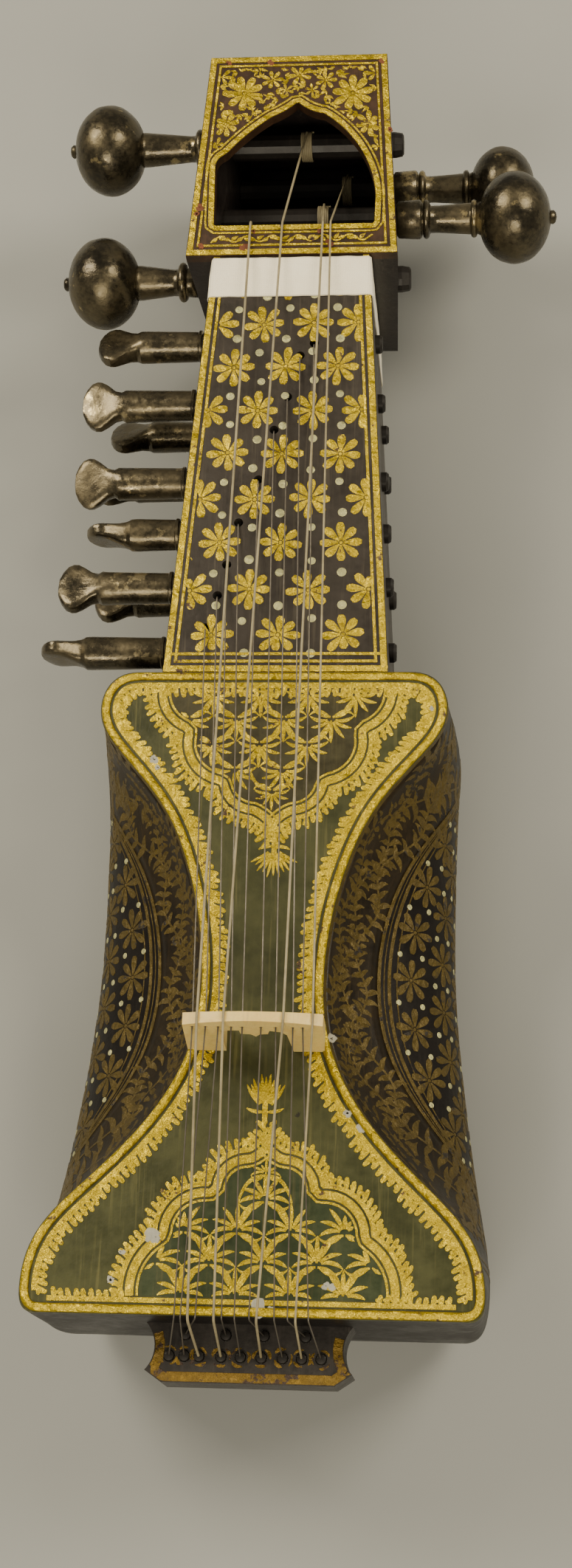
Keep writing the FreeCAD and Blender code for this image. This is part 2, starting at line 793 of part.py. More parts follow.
def peg_end(start, along, level, turn_radius, winding_x, name):
    """Where a string meets its winding, and a point on the way if it has to turn back."""
    if name == "left_low":
        # this peg lies under the sill, so the string drops inside the window first
        drop = Vector(start.x, start.y, level + turn_radius + 9.0)
        return Vector(winding_x, along + turn_radius, level + 1.0), drop
    toward = math.atan2(start.z - level, start.y - along)
    distance = math.hypot(start.z - level, start.y - along)
    angle = toward - math.acos(turn_radius / distance)
    end = Vector(
        winding_x,
        along + turn_radius * math.cos(angle),
        level + turn_radius * math.sin(angle),
    )
    return end, None


def build_wires():
    """Nine sympathetic wires, from the tail block through the bridge to the neck."""
    radius = size("wire_radius")
    block_base = size("tail_top") - size("tail_thick")
    edge_level = size("front_level") + size("rim_height") + radius + 0.8
    for number, (slot, foot, tail) in enumerate(zip(WIRE_SLOTS, WIRE_FEET, WIRE_TAILS), 1):
        hole_x, hole_y = FACE_HOLES[number - 1]
        along, rear, _, _ = SMALL_PEGS[number - 1]
        level = row_level(rear)
        reach = size("small_shaft") + radius + 0.12
        ahead = 1.0 if along > hole_y else -1.0
        # the wire meets its peg on the side it comes from
        lean = 0.75 if abs(along - hole_y) > 5.0 else 0.3
        end = Vector(
            hole_x,
            along - ahead * reach * lean,
            level + reach * math.sqrt(1 - lean ** 2) + 0.05,
        )
        points = [
            Vector(tail[0], tail[1], block_base - 1.0),
            Vector(tail[0], tail[1], size("tail_top") + 0.4),
            Vector(foot, size("foot_end") - 1.0, edge_level),
            Vector(slot, size("bridge_line"), size("wire_level")),
            Vector(hole_x, hole_y - 0.7, size("front_level") + 0.6),
            Vector(hole_x, hole_y + 0.35 * ahead, size("front_level") - size("neck_face") - 0.6),
            end,
        ]
        bends = [1.2, 1.2, 5.0, 1.0, 1.5]
        wire = tube(f"wire {number}", points, bends, radius)
        keep(feature(f"wire_solid_{number}", wire), f"sympathetic_wire_{number}")


def check_and_write():
    DOC.recompute()
    for item in DOC.Objects:
        if "Invalid" in item.State or "Error" in item.State:
            raise RuntimeError(f"{item.Name} failed: {item.State}")
    os.makedirs("parts", exist_ok=True)
    for item in NODES:
        shape = item.Shape
        if shape.isNull() or not shape.isValid():
            raise RuntimeError(f"{item.Label} has no valid shape")
        if len(shape.Solids) != 1:
            raise RuntimeError(f"{item.Label} has {len(shape.Solids)} solids")
        shape.exportStep(os.path.join("parts", f"{item.Label}.step"))
    print(f"{len(NODES)} pieces written")


build_body()
build_tail()
build_neck()
build_head()
build_main_pegs()
build_small_pegs()
build_bridge()
build_main_strings()
build_wires()
check_and_write()
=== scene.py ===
import math
import random

import bpy
from mathutils import Matrix, Vector, geometry, noise
from mathutils.bvhtree import BVHTree


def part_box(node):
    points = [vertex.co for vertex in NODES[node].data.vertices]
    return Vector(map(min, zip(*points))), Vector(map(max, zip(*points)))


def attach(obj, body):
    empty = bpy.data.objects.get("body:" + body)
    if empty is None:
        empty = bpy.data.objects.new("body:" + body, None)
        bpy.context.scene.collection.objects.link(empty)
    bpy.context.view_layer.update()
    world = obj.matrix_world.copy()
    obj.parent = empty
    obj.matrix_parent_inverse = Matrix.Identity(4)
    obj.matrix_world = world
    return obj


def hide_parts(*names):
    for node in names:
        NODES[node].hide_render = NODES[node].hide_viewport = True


# The looks of a small lacquered and gilded sarangi. Lengths here are millimetres in the
# instrument's own frame (+Y to the head, +Z out of the belly), and metres in the meshes.

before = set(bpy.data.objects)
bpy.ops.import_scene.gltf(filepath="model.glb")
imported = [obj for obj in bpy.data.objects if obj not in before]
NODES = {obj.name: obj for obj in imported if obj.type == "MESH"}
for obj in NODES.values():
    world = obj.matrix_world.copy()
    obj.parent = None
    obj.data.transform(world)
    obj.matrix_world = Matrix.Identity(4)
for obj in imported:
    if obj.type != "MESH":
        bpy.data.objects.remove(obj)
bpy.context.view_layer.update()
MM = 0.001
UP = Vector((0, 0, 1))


# ---------------------------------------------------------------- meshes


def add_mesh(name, verts, faces, material, smooth=True, body="root"):
    """A new piece, from points in millimetres, that rides on a body."""
    mesh = bpy.data.meshes.new(name)
    mesh.from_pydata([v * MM for v in verts], [], faces)
    mesh.polygons.foreach_set("use_smooth", [smooth] * len(mesh.polygons))
    mesh.materials.append(material)
    piece = bpy.data.objects.new(name, mesh)
    bpy.context.scene.collection.objects.link(piece)
    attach(piece, body)
    return piece


def ring_faces(rows, sides):
    """Faces of a closed tube whose points run ring by ring."""
    faces = []
    for i in range(rows - 1):
        for k in range(sides):
            after = (k + 1) % sides
            row = i * sides
            faces.append((row + k, row + after, row + sides + after, row + sides + k))
    faces.append(tuple(reversed(range(sides))))
    last = (rows - 1) * sides
    faces.append(tuple(range(last, last + sides)))
    return faces


def low(node):
    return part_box(node)[0] / MM


def high(node):
    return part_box(node)[1] / MM


def face_loops(node):
    """Closed outlines of a node's flat top face, the longest first."""
    mesh = NODES[node].data
    top = max(v.co.z for v in mesh.vertices) - 1e-5
    count = {}
    for polygon in mesh.polygons:
        points = [mesh.vertices[i].co for i in polygon.vertices]
        if min(p.z for p in points) < top:
            continue
        keys = [(round(p.x / MM, 3), round(p.y / MM, 3)) for p in points]
        for start, end in zip(keys, keys[1:] + keys[:1]):
            if (end, start) in count:
                del count[(end, start)]
            else:
                count[(start, end)] = True
    follow = {start: end for start, end in count}
    loops = []
    while follow:
        start, point = follow.popitem()
        loop = [start, point]
        while point in follow:
            point = follow.pop(point)
            loop.append(point)
        loops.append([Vector((x, y, top / MM)) for x, y in loop[:-1]])
    return sorted(loops, key=path_length, reverse=True)


def path_length(points):
    return sum((b - a).length for a, b in zip(points, points[1:]))


def resample(points, step):
    """Points at an even step along a path."""
    total = path_length(points)
    count = max(2, round(total / step) + 1)
    out = [points[0].copy()]
    travelled = 0.0
    wanted = total / (count - 1)
    for start, end in zip(points, points[1:]):
        length = (end - start).length
        while length > 0 and travelled + length >= wanted * len(out) - 1e-9:
            if len(out) == count:
                break
            share = (wanted * len(out) - travelled) / length
            out.append(start.lerp(end, min(1.0, share)))
        travelled += length
    while len(out) < count:
        out.append(points[-1].copy())
    return out


def arc(start, middle, end, count=10):
    """Points on the round arc through three flat points."""
    a, b, c = (Vector(p) for p in (start, middle, end))
    d = 2 * (a.x * (b.y - c.y) + b.x * (c.y - a.y) + c.x * (a.y - b.y))
    aa, bb, cc = a.length_squared, b.length_squared, c.length_squared
    centre = Vector((
        (aa * (b.y - c.y) + bb * (c.y - a.y) + cc * (a.y - b.y)) / d,
        (aa * (c.x - b.x) + bb * (a.x - c.x) + cc * (b.x - a.x)) / d,
    ))
    first, through, last = (math.atan2(*(p - centre).yx) for p in (a, b, c))
    turn = (last - first) % math.tau
    if (through - first) % math.tau > turn:
        turn -= math.tau
    radius = (a - centre).length
    angles = [first + turn * i / (count - 1) for i in range(count)]
    return [centre + Vector((math.cos(t), math.sin(t))) * radius for t in angles]


def flat_offset(path, distance):
    """A path beside a flat one: to the left of the way it runs, when distance is positive."""
    out = []
    for i, point in enumerate(path):
        ahead = path[min(i + 1, len(path) - 1)] - path[max(i - 1, 0)]
        ahead.z = 0
        ahead.normalize()
        out.append(point + Vector((-ahead.y, ahead.x, 0)) * distance)
    return out


def inset_polygon(corners, distance):
    """Corners of a flat polygon with every edge moved inwards."""
    lines = []
    for start, end in zip(corners, corners[1:] + corners[:1]):
        along = (end - start).normalized()
        inward = Vector((-along.y, along.x, 0)) * distance
        lines.append((start + inward, end + inward))
    out = []
    for before, after in zip(lines[-1:] + lines[:-1], lines):
        meet = geometry.intersect_line_line(*before, *after)
        out.append(meet[0])
    return out


def anticlockwise(points):
    """A flat loop, turned round if it runs clockwise."""
    area = sum(a.x * b.y - b.x * a.y for a, b in zip(points, points[1:] + points[:1]))
    return points if area > 0 else points[::-1]


def is_inside(point, polygon):
    """Whether a flat point lies inside a polygon: a ray from it crosses an odd number of edges."""
    inside = False
    for a, b in zip(polygon, polygon[1:] + polygon[:1]):
        if (a.y > point.y) != (b.y > point.y):
            if point.x < (b.x - a.x) * (point.y - a.y) / (b.y - a.y) + a.x:
                inside = not inside
    return inside


# ---------------------------------------------------------------- surfaces


def flat(level):
    """A surface that carries relief on a level plane."""
    def spot(point):
        return Vector((point.x, point.y, level)), UP
    return spot


def wrapped(nodes):
    """A surface that carries relief on curved nodes."""
    verts = []
    faces = []
    for node in nodes:
        mesh = NODES[node].data
        base = len(verts)
        verts += [v.co / MM for v in mesh.vertices]
        faces += [[base + i for i in p.vertices] for p in mesh.polygons]
    tree = BVHTree.FromPolygons(verts, faces)

    def spot(point):
        where, normal, _, _ = tree.find_nearest(point)
        return where, normal
    return spot, tree


def local_frame(spot, normal, turn=0.0, up=Vector((0, 1, 0))):
    """Turns flat motif coordinates into points on the plane that touches a surface."""
    along = (up - normal * up.dot(normal)).normalized()
    along = Matrix.Rotation(turn, 3, normal) @ along
    across = along.cross(normal)

    def place(a, b):
        return spot + across * a + along * b
    return place


def level_frame(x, y, level, turn=0.0):
    return local_frame(Vector((x, y, level)), UP, turn)


# ---------------------------------------------------------------- relief

# The section of a stroke: how far across, in half widths, and how high, in rises.
SECTION = ((-1.0, -0.4), (-0.9, 0.9), (0.0, 1.0), (0.9, 0.9), (1.0, -0.4))
ROUND = ((-1.0, -0.3), (-0.72, 0.72), (0.0, 1.0), (0.72, 0.72), (1.0, -0.3))
# A stroke with less than this half width is lower than the rest.
FULL_HEIGHT_FROM = 0.35
# Width along a petal or a leaf, from its root to its tip.
PETAL = (0.22, 0.42, 0.66, 0.88, 1.0, 0.94, 0.5)
BLADE = (0.45, 0.7, 0.95, 1.0, 0.75, 0.2)
SPEAR = (0.5, 0.9, 1.0, 0.7, 0.35, 0.08)


class Relief:
    """Raised leaf, petals, lines and dots on one surface, gathered into one mesh."""

    def __init__(self, surface, rise, keep=None, section=SECTION):
        self.surface = surface
        self.section = section
        self.rise = rise
        self.keep = keep
        self.verts = []
        self.faces = []

    def stroke(self, path, widths):
        """A low ribbon along a path, closed all round."""
        if self.keep:
            kept = next((i for i, p in enumerate(path) if not self.keep(p)), len(path))
            path = path[:kept]
        if len(path) < 3:
            return
        widths = spread(widths, len(path))
        spots = [self.surface(p) for p in path]
        base = len(self.verts)
        for i, (spot, normal) in enumerate(spots):
            ahead = spots[min(i + 1, len(spots) - 1)][0] - spots[max(i - 1, 0)][0]
            across = normal.cross(ahead).normalized()
            half = widths[i] / 2
            peak = self.rise * min(1.0, half / FULL_HEIGHT_FROM)
            for side, height in self.section:
                self.verts.append(spot + across * (side * half) + normal * (height * peak))
        size = len(self.section)
        for i in range(len(spots) - 1):
            row = base + i * size
            for k in range(size):
                after = (k + 1) % size
                self.faces.append((row + k, row + size + k, row + size + after, row + after))
        self.faces.append(tuple(range(base, base + size)))
        last = base + (len(spots) - 1) * size
        self.faces.append(tuple(range(last + size - 1, last - 1, -1)))

    def line(self, path, width):
        self.stroke(path, [width] * 2)

    def dot(self, place, radius, sides=12, rng=None):
        """A small domed disc, or an uneven patch."""
        centre, normal = self.surface(place(0, 0))
        if self.keep and not self.keep(centre):
            return
        base = len(self.verts)
        reach = [radius * (rng.uniform(0.62, 1.25) if rng else 1.0) for _ in range(sides)]
        for share, height in ((1.0, -0.3), (0.85, 0.8), (0.45, 1.0)):
            for k in range(sides):
                angle = math.tau * k / sides
                spot = place(math.cos(angle) * reach[k] * share, math.sin(angle) * reach[k] * share)
                self.verts.append(spot + normal * (height * self.rise))
        for ring in range(2):
            for k in range(sides):
                after = (k + 1) % sides
                row = base + ring * sides
                self.faces.append((row + k, row + after, row + sides + after, row + sides + k))
        self.faces.append(tuple(base + 2 * sides + k for k in range(sides)))
        self.faces.append(tuple(base + k for k in reversed(range(sides))))

    def add(self, name, material):
        piece = add_mesh(name, self.verts, self.faces, material)
        if self.section is SECTION:
            piece.data.set_sharp_from_angle(angle=math.radians(32))
        return piece


def spread(widths, count):
    """Widths for every point of a path, from a short list of them."""
    out = []
    for i in range(count):
        at = i / (count - 1) * (len(widths) - 1)
        left = min(int(at), len(widths) - 2)
        out.append(widths[left] + (widths[left + 1] - widths[left]) * (at - left))
    return out


def petal(relief, place, angle, start, end, width, shape=PETAL, bend=0.0, count=8):
    """One petal or leaf that runs out from a motif's middle."""
    path = []
    for i in range(count):
        share = i / (count - 1)
        reach = start + (end - start) * share
        lean = angle + bend * share
        path.append(place(math.sin(lean) * reach, math.cos(lean) * reach))
    relief.stroke(path, [w * width for w in shape])


def daisy(relief, place, radius, petals=8, width=None, rng=None):
    """A flower of separate petals round a small eye."""
    width = width or radius * 0.43
    for k in range(petals):
        wobble = rng.uniform(-0.06, 0.06) if rng else 0.0
        reach = radius * (rng.uniform(0.92, 1.05) if rng else 1.0)
        petal(relief, place, wobble + math.tau * k / petals, radius * 0.12, reach, width)
    relief.dot(place, radius * 0.1, sides=8)


def palmette(relief, place, size, cell, rng):
    """A fan of blades over two curling arms that reach the motifs behind it."""
    blades = 7
    middle = (blades - 1) / 2
    for k in range(blades):
        off = (k - middle) / middle
        length = size * (1.0 - 0.14 * abs(off)) * rng.uniform(0.93, 1.05)
        petal(relief, place, off * 1.05, size * 0.18, length, size * 0.17, BLADE, off * 0.6)
    wide, tall = cell
    for side in (-1, 1):
        arm = bezier((side * 0.3, -0.3), (side * wide * 0.38, -tall * 0.04),
                     (side * wide * 0.5, -tall * 0.9), 9)
        relief.stroke([place(a, b) for a, b in arm], (0.7, 1.15, 1.2, 1.0, 0.6))
        curl = bezier((side * 0.4, -0.1), (side * size * 0.6, -size * 0.5),
                      (side * size * 0.88, -size * 0.08), 8)
        relief.stroke([place(a, b) for a, b in curl], (0.5, 1.2, 1.35, 0.8, 0.2))


def bezier(start, control, end, count):
    """Points on a flat curve with one control point."""
    a, b, c = (Vector(p) for p in (start, control, end))
    shares = [i / (count - 1) for i in range(count)]
    return [a * (1 - t) ** 2 + b * (2 * t * (1 - t)) + c * t ** 2 for t in shares]


def sprig(relief, place, size, rng):
    """Three curved leaves from one point."""
    for angle, length in ((-0.85, 0.72), (0.0, 1.0), (0.85, 0.72)):
        bend = rng.uniform(-0.5, 0.5)
        petal(relief, place, angle, 0.15, size * length, size * 0.34, SPEAR, bend, 6)


def fringe(relief, path, away, drift, length, width, step, rng):
    """Small lapped leaves, each with a side lobe, that stand out along one side of an edge."""
    for spot, ahead in walk(path, step):
        out = Vector((-ahead.y, ahead.x, 0)) * away
        aim = (out + drift).normalized()
        reach = length * rng.uniform(0.8, 1.18)
        side = Vector((aim.y, -aim.x, 0)) * (width * rng.uniform(0.1, 0.5) * away)
        leaf = [spot + aim * (reach * t) + side * (t * t) for t in (0, 0.2, 0.45, 0.7, 0.9, 1.0)]
        relief.stroke(leaf, [w * width for w in (0.72, 0.8, 0.86, 0.82, 0.68, 0.34)])
        hand = rng.choice((-1, 1))
        lobe_aim = (aim + Vector((aim.y, -aim.x, 0)) * (1.1 * hand)).normalized()
        root = spot + aim * (reach * 0.3)
        lobe = [root + lobe_aim * (reach * 0.46 * t) for t in (0, 0.4, 0.75, 1.0)]
        relief.stroke(lobe, [w * width for w in (0.5, 0.62, 0.58, 0.25)])


def walk(path, step):
    """Points and directions at an even step along a flat path."""
    points = resample(path, step)
    for start, end in zip(points, points[1:]):
        ahead = (end - start).normalized()
        yield (start + end) / 2, ahead


# ---------------------------------------------------------------- shader groups


class Graph:
    """A node tree with short ways to add and join its nodes."""

    def __init__(self, tree):
        self.tree = tree

    def node(self, kind, inputs=None, **settings):
        node = self.tree.nodes.new(kind)
        for name, value in settings.items():
            setattr(node, name, value)
        for name, value in (inputs or {}).items():
            self.feed(node.inputs[name], value)
        return node

    def feed(self, socket, value):
        if isinstance(value, bpy.types.NodeSocket):
            self.tree.links.new(value, socket)
        else:
            socket.default_value = value

    def noise(self, vector, scale, detail=4.0, rough=0.55):
        node = self.node("ShaderNodeTexNoise", {
            "Vector": vector, "Scale": scale, "Detail": detail, "Roughness": rough,
        })
        return node.outputs["Fac"]

    def ramp(self, value, low_end, high_end, to_min=0.0, to_max=1.0):
        node = self.node("ShaderNodeMapRange", {
            "Value": value, "From Min": low_end, "From Max": high_end,
            "To Min": to_min, "To Max": to_max,
        }, interpolation_type="SMOOTHSTEP")
        return node.outputs["Result"]

    def mix(self, factor, first, second):
        node = self.tree.nodes.new("ShaderNodeMix")
        node.data_type = "RGBA"
        self.feed(node.inputs[0], factor)
        self.feed(node.inputs[6], first)
        self.feed(node.inputs[7], second)
        return node.outputs[2]

    def maths(self, operation, first, second=0.0):
        node = self.tree.nodes.new("ShaderNodeMath")
        node.operation = operation
        self.feed(node.inputs[0], first)
        self.feed(node.inputs[1], second)
        return node.outputs[0]

    def stretched(self, scale):
        """Object coordinates, scaled apart on each axis."""
        coordinates = self.node("ShaderNodeTexCoord").outputs["Object"]
        mapping = self.node("ShaderNodeMapping", {"Vector": coordinates, "Scale": scale})
        return mapping.outputs["Vector"]


def group(name, sockets):
    """A new shader group with float or colour sockets: {name: (kind, in or out, value)}."""
    tree = bpy.data.node_groups.new(name, "ShaderNodeTree")
    for label, (kind, way, value) in sockets.items():
        socket = tree.interface.new_socket(label, in_out=way, socket_type=f"NodeSocket{kind}")
        if value is not None:
            socket.default_value = value
    graph = Graph(tree)
    inputs = graph.node("NodeGroupInput").outputs
    outputs = graph.node("NodeGroupOutput").inputs
    return tree, graph, inputs, outputs


def make_mottle():
    """Uneven tone: large cloudy patches and small ones, as one mask."""
    tree, graph, inputs, outputs = group("mottle", {
        "Scale": ("Float", "INPUT", 80.0),
        "Contrast": ("Float", "INPUT", 0.5),
        "Mask": ("Float", "OUTPUT", None),
    })
    spot = graph.stretched((1, 1, 1))
    large = graph.noise(spot, inputs["Scale"], 5.0, 0.6)
    small = graph.noise(spot, graph.maths("MULTIPLY", inputs["Scale"], 7.0), 3.0, 0.6)
    both = graph.maths("ADD", graph.maths("MULTIPLY", large, 0.68),
                       graph.maths("MULTIPLY", small, 0.32))
    spread_by = graph.maths("MULTIPLY", inputs["Contrast"], 0.25)
    low_end = graph.maths("SUBTRACT", 0.5, spread_by)
    high_end = graph.maths("ADD", 0.5, spread_by)
    graph.feed(outputs["Mask"], graph.ramp(both, low_end, high_end))
    return tree


def make_streaks():
    """Fine brush marks and rubbed scratches that run along the instrument."""
    tree, graph, inputs, outputs = group("streaks", {
        "Scale": ("Float", "INPUT", 900.0),
        "Strength": ("Float", "INPUT", 0.5),
        "Mask": ("Float", "OUTPUT", None),
    })
    spot = graph.stretched((1, 0.035, 0.5))
    fine = graph.noise(spot, inputs["Scale"], 3.0, 0.6)
    spot = graph.stretched((1, 0.12, 0.5))
    broad = graph.noise(spot, graph.maths("MULTIPLY", inputs["Scale"], 0.2), 3.0, 0.5)
    both = graph.maths("MULTIPLY", graph.ramp(fine, 0.48, 0.72), graph.ramp(broad, 0.35, 0.65))
    graph.feed(outputs["Mask"], graph.maths("MULTIPLY", both, inputs["Strength"]))
    return tree


def make_wear():
    """Rubbed and chipped places, small, sharp-edged and scattered."""
    tree, graph, inputs, outputs = group("wear", {
        "Scale": ("Float", "INPUT", 160.0),
        "Amount": ("Float", "INPUT", 0.3),
        "Mask": ("Float", "OUTPUT", None),
    })
    spot = graph.stretched((1, 1, 1))
    patches = graph.noise(spot, inputs["Scale"], 6.0, 0.68)
    edge = graph.maths("SUBTRACT", 0.78, graph.maths("MULTIPLY", inputs["Amount"], 0.3))
    graph.feed(outputs["Mask"], graph.ramp(patches, edge, graph.maths("ADD", edge, 0.05)))
    return tree


def make_grain():
    """Height for a fine, slightly hammered or brushed skin."""
    tree, graph, inputs, outputs = group("grain", {
        "Scale": ("Float", "INPUT", 500.0),
        "Coarse": ("Float", "INPUT", 0.3),
        "Height": ("Float", "OUTPUT", None),
    })
    spot = graph.stretched((1, 1, 1))
    fine = graph.noise(spot, inputs["Scale"], 3.0, 0.6)
    coarse = graph.noise(spot, graph.maths("MULTIPLY", inputs["Scale"], 0.16), 2.0, 0.5)
    graph.feed(outputs["Height"], graph.maths(
        "ADD", fine, graph.maths("MULTIPLY", coarse, graph.maths("MULTIPLY", inputs["Coarse"], 6.0)),
    ))
    return tree


MOTTLE = make_mottle()
STREAKS = make_streaks()
WEAR = make_wear()
GRAIN = make_grain()


# ---------------------------------------------------------------- materials


class Finish:
    """A material with one shader, and the shared groups placed beside it."""

    def __init__(self, name, **constants):
        self.material = bpy.data.materials.new(name)
        self.material.use_nodes = True
        tree = self.material.node_tree
        tree.nodes.clear()
        self.graph = Graph(tree)
        self.shader = self.graph.node("ShaderNodeBsdfPrincipled")
        output = self.graph.node("ShaderNodeOutputMaterial")
        tree.links.new(self.shader.outputs[0], output.inputs["Surface"])
        for socket, value in constants.items():
            self.shader.inputs[socket.replace("_", " ")].default_value = value

    def use(self, tree, output, **values):
        node = self.graph.node("ShaderNodeGroup", node_tree=tree)
        for socket, value in values.items():
            self.graph.feed(node.inputs[socket], value)
        return node.outputs[output]

    def set(self, socket, value):
        self.graph.feed(self.shader.inputs[socket], value)

    def bump(self, height, strength, depth=0.0003):
        node = self.graph.node("ShaderNodeBump", {
            "Height": height, "Strength": strength, "Distance": depth,
        })
        self.set("Normal", node.outputs["Normal"])


def rgb(red, green, blue):
    return (red, green, blue, 1.0)


def lacquer(name, base, tone, streak, streak_strength, chip, chips, gloss, mottle_scale=60.0,
            shine=0.38):
    """Painted lacquer: cloudy tone, brushed streaks, and chips that show what lies under it."""
    finish = Finish(name, Coat_Weight=shine * 0.3, Coat_Roughness=0.2, Specular_IOR_Level=shine)
    graph = finish.graph
    clouds = finish.use(MOTTLE, "Mask", Scale=mottle_scale, Contrast=0.9)
    streaks = finish.use(STREAKS, "Mask", Scale=1100.0, Strength=streak_strength)
    chipped = finish.use(WEAR, "Mask", Scale=130.0, Amount=chips)
    colour = graph.mix(clouds, rgb(*base), rgb(*tone))
    colour = graph.mix(streaks, colour, rgb(*streak))
    colour = graph.mix(chipped, colour, rgb(*chip))
    finish.set("Base Color", colour)
    finish.set("Roughness", graph.ramp(clouds, 0.0, 1.0, gloss, gloss + 0.16))
    finish.bump(finish.use(GRAIN, "Height", Scale=700.0, Coarse=0.4), 0.25)
    return finish.material


def gold_leaf(name, bright, deep, rubbed, rub_amount, metal, rough):
    """Leaf over gesso: crinkled and sparkling, deeper in the hollows, rubbed to its ground."""
    finish = Finish(name, Specular_IOR_Level=0.5)
    graph = finish.graph
    clouds = finish.use(MOTTLE, "Mask", Scale=260.0, Contrast=0.8)
    flecks = finish.use(MOTTLE, "Mask", Scale=800.0, Contrast=0.8)
    rubs = finish.use(WEAR, "Mask", Scale=210.0, Amount=rub_amount)
    light = graph.maths("ADD", 0.35, graph.maths("MULTIPLY", clouds, 0.65))
    colour = graph.mix(light, rgb(*deep), rgb(*bright))
    colour = graph.mix(graph.maths("MULTIPLY", flecks, 0.5), colour, rgb(*deep))
    colour = graph.mix(rubs, colour, rgb(*rubbed))
    finish.set("Base Color", colour)
    finish.set("Metallic", graph.ramp(rubs, 0.0, 1.0, metal, 0.05))
    finish.set("Roughness", graph.ramp(flecks, 0.0, 1.0, rough, rough + 0.2))
    finish.bump(finish.use(GRAIN, "Height", Scale=1300.0, Coarse=0.8), 0.9, 0.0004)
    return finish.material


def tarnished(name, dark, warm, shine, hammer, amount=0.55):
    """Bronze gone brown and black, bright where it is handled."""
    finish = Finish(name, Metallic=0.85)
    graph = finish.graph
    clouds = finish.use(MOTTLE, "Mask", Scale=95.0, Contrast=0.8)
    flecks = finish.use(MOTTLE, "Mask", Scale=420.0, Contrast=1.0)
    rubs = finish.use(WEAR, "Mask", Scale=75.0, Amount=amount)
    colour = graph.mix(clouds, rgb(*dark), rgb(*warm))
    colour = graph.mix(graph.maths("MULTIPLY", flecks, 0.4), colour, rgb(*dark))
    colour = graph.mix(graph.maths("MULTIPLY", rubs, 0.6), colour, rgb(*shine))
    finish.set("Base Color", colour)
    finish.set("Roughness", graph.ramp(clouds, 0.0, 1.0, 0.2, 0.42))
    finish.bump(finish.use(GRAIN, "Height", Scale=420.0, Coarse=hammer), 0.3, 0.0005)
    return finish.material


def bone():
    """Old bone, yellowed in patches and stained where it is handled."""
    finish = Finish("bone", Subsurface_Weight=0.12, Subsurface_Scale=0.002)
    graph = finish.graph
    clouds = finish.use(MOTTLE, "Mask", Scale=120.0, Contrast=1.0)
    lines = finish.use(STREAKS, "Mask", Scale=1400.0, Strength=0.5)
    stains = finish.use(WEAR, "Mask", Scale=90.0, Amount=0.45)
    colour = graph.mix(clouds, rgb(0.82, 0.64, 0.25), rgb(0.70, 0.51, 0.17))
    colour = graph.mix(lines, colour, rgb(0.55, 0.40, 0.2))
    colour = graph.mix(graph.maths("MULTIPLY", stains, 0.5), colour, rgb(0.42, 0.25, 0.1))
    finish.set("Base Color", colour)
    finish.set("Roughness", graph.ramp(clouds, 0.0, 1.0, 0.34, 0.5))
    finish.bump(finish.use(GRAIN, "Height", Scale=900.0, Coarse=0.2), 0.25, 0.0002)
    return finish.material


def cord_finish(name, pale, dark, rough, metal=0.0):
    """Twisted gut or drawn wire, darker in patches along its length."""
    finish = Finish(name, Metallic=metal)
    graph = finish.graph
    clouds = finish.use(MOTTLE, "Mask", Scale=60.0, Contrast=0.9)
    twist = graph.node("ShaderNodeTexWave", {
        "Vector": graph.stretched((1, 1, 1)), "Scale": 260.0, "Distortion": 1.5,
    }, bands_direction="DIAGONAL")
    colour = graph.mix(clouds, rgb(*pale), rgb(*dark))
    finish.set("Base Color", colour)
    finish.set("Roughness", graph.ramp(clouds, 0.0, 1.0, rough, rough + 0.15))
    finish.bump(twist.outputs["Fac"], 0.25, 0.0001)
    return finish.material


def cotton():
    """White tape: a plain weave, softly creased."""
    finish = Finish("cotton_tape", Sheen_Weight=0.3, Sheen_Roughness=0.6)
    graph = finish.graph
    spot = graph.stretched((1, 1, 1))
    warp = graph.node("ShaderNodeTexWave", {"Vector": spot, "Scale": 420.0}, bands_direction="X")
    weft = graph.node("ShaderNodeTexWave", {"Vector": spot, "Scale": 420.0}, bands_direction="Y")
    weave = graph.maths("MULTIPLY", warp.outputs["Fac"], weft.outputs["Fac"])
    clouds = finish.use(MOTTLE, "Mask", Scale=90.0, Contrast=1.0)
    colour = graph.mix(clouds, rgb(0.98, 0.92, 0.74), rgb(0.92, 0.85, 0.66))
    finish.set("Base Color", colour)
    finish.set("Roughness", graph.ramp(weave, 0.0, 1.0, 0.95, 0.8))
    finish.bump(weave, 0.5, 0.0002)
    return finish.material


GOLD = gold_leaf(
    "gold_leaf", bright=(0.80, 0.60, 0.022), deep=(0.20, 0.135, 0.005), rubbed=(0.06, 0.03, 0.01),
    rub_amount=0.56, metal=0.72, rough=0.22,
)
# Gilt of the flanks: the same leaf painted several times darker than the belly's. The darkness is painted
# shade, for the flanks lie in shade; the duller, browner tone is the gilt's own.
SHADED_GOLD = gold_leaf(
    "flank_gold_painted_shade", bright=(0.13, 0.088, 0.011), deep=(0.042, 0.028, 0.004),
    rubbed=(0.012, 0.008, 0.005), rub_amount=0.62, metal=0.4, rough=0.36,
)
TAIL_GOLD = gold_leaf(
    "tail_gold", bright=(0.26, 0.16, 0.015), deep=(0.085, 0.05, 0.008),
    rubbed=(0.04, 0.02, 0.012), rub_amount=0.8, metal=0.5, rough=0.38,
)
SILVER = gold_leaf(
    "silver_leaf", bright=(0.60, 0.58, 0.30), deep=(0.32, 0.31, 0.15), rubbed=(0.08, 0.07, 0.045),
    rub_amount=0.3, metal=0.5, rough=0.34,
)
BOLE = lacquer(
    "red_bole", base=(0.10, 0.030, 0.012), tone=(0.19, 0.06, 0.022), streak=(0.2, 0.1, 0.04),
    streak_strength=0.3, chip=(0.03, 0.018, 0.01), chips=0.5, gloss=0.6, mottle_scale=220.0,
)
PEG_WOOD = lacquer(
    "peg_wood", base=(0.005, 0.004, 0.0035), tone=(0.012, 0.009, 0.007),
    streak=(0.028, 0.022, 0.017), streak_strength=0.4, chip=(0.03, 0.02, 0.012), chips=0.3,
    gloss=0.5, mottle_scale=90.0,
)
